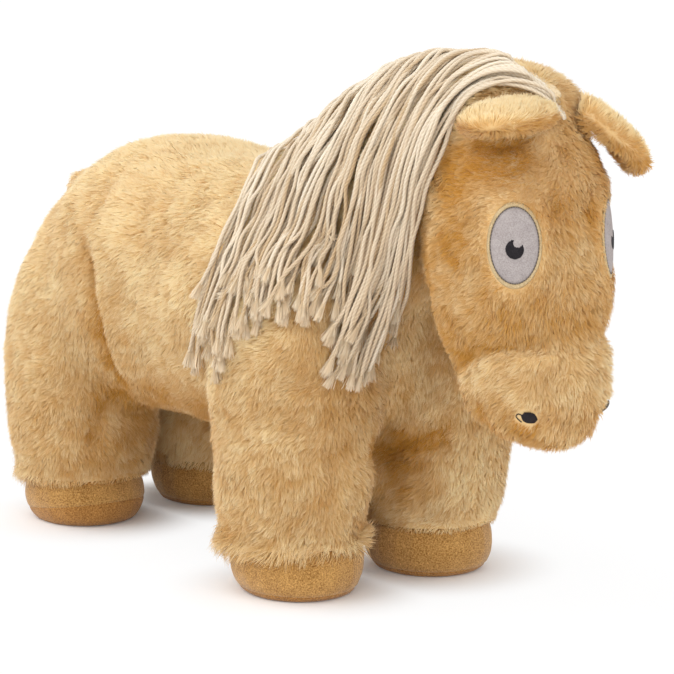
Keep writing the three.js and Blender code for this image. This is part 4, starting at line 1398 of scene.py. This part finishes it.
for leg in LEGS:
    hoof_node, sole_node = "hoof_" + leg, "sole_" + leg
    low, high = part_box(sole_node)
    seam_middle = Vector(((low.x + high.x) / 2, (low.y + high.y) / 2, (SOLE_EDGE + high.z) / 2))
    seam_normal = Vector((-(high.z - SOLE_EDGE) / (high.x - low.x), 0, 1)).normalized()
    foot = bmesh.new()
    foot.from_mesh(remeshed("foot_" + leg, [hoof_node, sole_node], FOOT_VOXEL, FOOT_GROWN))
    for _ in range(FOOT_ROUNDS):
        relax(foot, [v for v in foot.verts if v.co.z < high.z + FOOT_RELAXED], 1)
    foot.normal_update()
    places, ways = vertex_places(foot)
    swell = noise(places, 26 * MM, 51) * 0.7 * MM + noise(places, 9 * MM, 52) * 0.25 * MM
    above = (places - np.array(seam_middle)) @ np.array(seam_normal)
    swell -= SEAM_DEPTH * np.clip(1 - np.abs(above) / SEAM_WIDTH, 0, 1)
    under = np.clip(1 - places[:, 2] / TOE_HEIGHT, 0, 1)
    swell -= TOE_ROUND * (1 - np.sqrt(1 - under ** 2)) * np.clip(1 + ways[:, 2] * 0.8, 0, 1)
    moved = places + ways * swell[:, None]
    moved[:, 2] = places[:, 2]
    write_places(foot, np.where(ways[:, 2:] < SOLE_FLAT, places, moved))
    for node, slot, cloth, clear_above in (
            (hoof_node, "suede", suede, False), (sole_node, "sole", sole_suede, True)):
        part = foot.copy()
        bmesh.ops.bisect_plane(
            part, geom=[*part.verts, *part.edges, *part.faces], plane_co=seam_middle,
            plane_no=seam_normal, clear_outer=clear_above, clear_inner=not clear_above)
        bmesh.ops.holes_fill(part, edges=[e for e in part.edges if e.is_boundary], sides=0)
        bmesh.ops.triangulate(part, faces=[f for f in part.faces if len(f.verts) > 4])
        piece = add_mesh_object(node + "_cloth", mesh_of(part, node + "_cloth"), cloth)
        piece.data.shade_smooth()
        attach(piece, TORSO)
        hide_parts(node)
    foot.free()
    print(leg, "foot cut at a seam that climbs", round((high.z - SOLE_EDGE) / MM, 1), "mm")

# %% [markdown]
# ## The eyes and nostrils
# An eye is an oval of pale felt, sewn to the face with a thin grey line a little inside its edge, so
# that a cream border shows round it. The pupil is embroidered with satin stitch: threads side by side
# that leave out a round glint. A nostril is a bean in the same stitch, with a short hooked line beside
# it. A black dye on flat felt would be quicker, but real threads each catch the light. The oval has to
# follow the face, so the depth of the face behind it is measured in a few places, and a smooth curved
# surface is fitted to them.

# %% A curved surface on the face
FACE_PROBES, PROBED_REACH = 9, 1.05


def face_surface(patch):
    """How far the face stands out from a patch's middle, as a function of width and height."""
    middle, out, across, half_width, half_height = patch
    rows, depths = [], []
    for u in np.linspace(-1, 1, FACE_PROBES):
        for v in np.linspace(-1, 1, FACE_PROBES):
            if u * u + v * v > PROBED_REACH:
                continue
            start = middle + across * (u * half_width) + UP * (v * half_height) + out * 25 * MM
            hit = skin_tree.ray_cast(start, -out, 60 * MM)[0]
            if hit is not None:
                rows.append([1, u, v, u * u, u * v, v * v])
                depths.append((hit - middle).dot(out))
    fit = np.linalg.lstsq(np.array(rows), np.array(depths), rcond=None)[0]
    return lambda u, v: np.stack([u * 0 + 1, u, v, u * u, u * v, v * v], axis=-1) @ fit


def on_face(patch, surface, u, v, lift):
    """Points at a share of the patch's half width and half height, lifted off the face."""
    middle, out, across, half_width, half_height = (np.array(part) for part in patch)
    u, v = np.broadcast_arrays(np.asarray(u, float), np.asarray(v, float))
    away = surface(u, v) + lift
    return (middle + (u * half_width)[..., None] * across + (v * half_height)[..., None] * np.array(UP)
            + away[..., None] * out)


SPIN_STEPS = 72


def spun_patch(name, patch, surface, profile, material):
    """A profile of (share of the radius, height) spun to a disc or ring, then laid on the face."""
    shape = bmesh.new()
    line = [shape.verts.new((radius, 0, height)) for radius, height in profile]
    edges = [shape.edges.new(pair) for pair in zip(line, line[1:])]
    bmesh.ops.spin(shape, geom=line + edges, axis=(0, 0, 1), cent=(0, 0, 0), steps=SPIN_STEPS,
                   angle=2 * math.pi, use_merge=True)
    bmesh.ops.remove_doubles(shape, verts=shape.verts, dist=1e-5)
    bmesh.ops.recalc_face_normals(shape, faces=shape.faces)
    places = np.array([v.co for v in shape.verts])
    write_places(shape, on_face(patch, surface, places[:, 0], places[:, 1], places[:, 2]))
    bmesh.ops.recalc_face_normals(shape, faces=shape.faces)
    mesh = mesh_of(shape, name)
    mesh.shade_smooth()
    return add_mesh_object(name, mesh, material)


# %% Satin stitch
THREAD = 0.26 * MM
THREAD_GAP, THREAD_BOW = 0.36 * MM, 0.25 * MM
ROW_POINTS, SHORTEST_RUN = 61, 4
STITCH_LOBES = np.ones(6)


def satin(patch, surface, middle, radius, turn, inside, lift):
    """Threads side by side over a disc, each broken where the function inside says no."""
    half_width, half_height = patch[3], patch[4]
    paths = []
    for row in np.arange(-1, 1, THREAD_GAP / radius):
        run = np.linspace(-1, 1, ROW_POINTS)
        x = run * math.cos(turn) - row * math.sin(turn)
        y = run * math.sin(turn) + row * math.cos(turn)
        kept = inside(x, y)
        starts = np.flatnonzero(np.diff(np.concatenate([[0], kept.astype(int), [0]])))
        for a, b in starts.reshape(-1, 2):
            if b - a < SHORTEST_RUN:
                continue
            bow = np.sin(np.linspace(0, 1, b - a) * np.pi)
            u = (middle[0] + x[a:b] * radius) / half_width
            v = (middle[1] + y[a:b] * radius) / half_height
            paths.append(on_face(patch, surface, u, v, lift + THREAD_BOW * bow))
    return paths


def thread_piece(name, paths, material, radius=THREAD):
    """Threads along these paths as one piece on the face."""
    piece = add_mesh_object(name, twisted_strands(
        name, paths, np.full(len(paths), 0.5), radius, np.random.default_rng(3),
        STITCH_LOBES, radius * 1.6, 2), material)
    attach(piece, TORSO)
    return piece


# %% Eyes
FELT_LIFT, FELT_THICK = 1.1 * MM, 1.0 * MM
SEWN_AT = 0.88
RIM_STITCHES, STITCH_ARC, STITCH_RISE, RIM_THREAD = 64, 0.074, 0.12 * MM, 0.2 * MM
PUPIL_WIDE, PUPIL_HIGH, PUPIL_LIFT = 4.5 * MM, 4.7 * MM, 0.4 * MM
PUPIL_TURN = math.radians(20)
GLINT_RADIUS, GLINT_AHEAD, GLINT_UP = 2.2 * MM, 1.5 * MM, 3.2 * MM
for side_name, side in SIDES.items():
    front = -side
    eye = patches["eye_" + side_name]
    eye_surface = face_surface(eye)
    low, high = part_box("pupil_" + side_name)
    away = (low + high) / 2 - eye[0]
    pupil_at = (away.dot(eye[2]) - EYE_SHIFT, away.dot(UP))
    top, under = FELT_LIFT, FELT_LIFT - FELT_THICK
    felt = spun_patch("eye_felt_" + side_name, eye, eye_surface, [
        (0, top + 0.5 * MM), (0.3, top + 0.45 * MM), (0.6, top + 0.3 * MM), (0.78, top + 0.05 * MM),
        (SEWN_AT, top - 0.5 * MM), (SEWN_AT, under), (0.5, under), (0, under)], eye_felt)
    rim = spun_patch("eye_border_" + side_name, eye, eye_surface, [
        (SEWN_AT, top - 0.5 * MM), (0.915, top - 0.05 * MM), (0.96, top), (0.99, top - 0.2 * MM),
        (1.0, top - 0.6 * MM), (0.98, under), (SEWN_AT, under), (SEWN_AT, top - 0.5 * MM)], rim_felt)
    for piece, node, slot in (
            (felt, "eye_" + side_name, "eye_felt"), (rim, "eye_rim_" + side_name, "rim_thread")):
        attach(piece, TORSO)
        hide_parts(node)

    stitches = []
    for angle in np.arange(0, 2 * np.pi, 2 * np.pi / RIM_STITCHES):
        arc = angle + np.linspace(0, STITCH_ARC, 5)
        stitches.append(on_face(eye, eye_surface, SEWN_AT * np.cos(arc), SEWN_AT * np.sin(arc),
                                top - 0.3 * MM + STITCH_RISE * np.sin(np.linspace(0, np.pi, 5))))
    thread_piece("eye_stitches_" + side_name, stitches, grey_thread, RIM_THREAD)

    def in_pupil(x, y):
        """The round pupil without its glint."""
        glint = (x * PUPIL_HIGH - front * GLINT_AHEAD) ** 2 + (y * PUPIL_HIGH - GLINT_UP) ** 2
        return (x ** 2 * (PUPIL_HIGH / PUPIL_WIDE) ** 2 + y ** 2 < 1) & (glint > GLINT_RADIUS ** 2)

    pupil = thread_piece("pupil_satin_" + side_name, satin(
        eye, eye_surface, pupil_at, PUPIL_HIGH, PUPIL_TURN * front, in_pupil, top + PUPIL_LIFT),
        black_thread)
    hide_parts("pupil_" + side_name)
    print(side_name, "eye at", [round(c / MM) for c in eye[0]], "with", len(stitches), "stitches")

# %% Nostrils
BEAN_RADIUS, BEAN_AHEAD, BEAN_LIFT = 3.7 * MM, 1.0 * MM, 1.0 * MM
BEAN_TURN = math.radians(-38)
HOOK = [(-2.4, 1.4), (-4.4, 1.9), (-5.6, 0.4), (-4.4, -1.4), (-3.0, -2.8)]
HOOK_LIFT, NOSE_THREAD = 0.9 * MM, 0.3 * MM


def in_bean(x, y):
    """A bean: a rounded oblong that leans."""
    return np.abs(x + 0.25 * y) ** 2.6 + np.abs(y / 0.86) ** 2.6 < 1


for side_name, side in SIDES.items():
    front = -side
    nose = patches["nostril_" + side_name]
    nose_surface = face_surface(nose)
    bean = satin(
        nose, nose_surface, (front * BEAN_AHEAD, 0.0), BEAN_RADIUS, BEAN_TURN * front, in_bean, BEAN_LIFT)
    hook = curve_points(HOOK, np.linspace(0, 1, 16)) * MM
    bean.append(on_face(nose, nose_surface, front * hook[:, 0] / nose[3], hook[:, 1] / nose[4], HOOK_LIFT))
    nostril = thread_piece("nostril_satin_" + side_name, bean, black_thread, NOSE_THREAD)
    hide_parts("nostril_" + side_name)
    print(side_name, "nostril of", len(bean), "threads")

# %% [markdown]
# ## Tape and roll
# Under the mane runs the tape that its strands are sewn to, and the tail hangs from a small roll of
# cloth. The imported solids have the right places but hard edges. A bevel would turn those into clean
# corners, as on wood. Cloth is softer, so a merged copy of each is subdivided and relaxed.

# %% Tape and roll
for node, cloth, slot, body in (
        ("mane_tape", tape_cloth, "tape", TORSO), ("tail_binding", backing, "pile", TAIL)):
    shape = bmesh.new()
    shape.from_mesh(nodes[node].data)
    bmesh.ops.remove_doubles(shape, verts=shape.verts, dist=MERGED)
    bmesh.ops.subdivide_edges(shape, edges=shape.edges, cuts=1, use_grid_fill=True)
    relax(shape, shape.verts, 2)
    piece = add_mesh_object(node + "_cloth", mesh_of(shape, node + "_cloth"), cloth)
    piece.data.shade_smooth()
    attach(piece, body)
    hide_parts(node)
    print(piece.name, len(piece.data.polygons), "faces")

# %% Pile on the roll
ROLL_DENSITY, ROLL_FIBRE, ROLL_TONE = DENSITY * 1.3, 6 * MM, 0.75
roll = bpy.data.objects["tail_binding_cloth"].data
roll.calc_loop_triangles()
roll_places = np.array([v.co for v in roll.vertices])
roll_ways = np.array([v.normal for v in roll.vertices])
random = np.random.default_rng(60)
corners, shares = sample_points(
    roll_places, np.array([t.vertices for t in roll.loop_triangles]), ROLL_DENSITY, random)
points, ways = blended(roll_places, corners, shares), unit(blended(roll_ways, corners, shares))
bends, tips, tone = grow_blades(
    points, ways, BRUSHED_BACK, np.full(len(points), ROLL_FIBRE), np.full(len(points), ROLL_TONE), random)
roll_pile = add_mesh_object("pile_tail_binding", blade_mesh(
    "pile_tail_binding", points, bends, tips, ways, tone, random), pile)
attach(roll_pile, TAIL)
print("pile on the roll", len(points), "fibres")
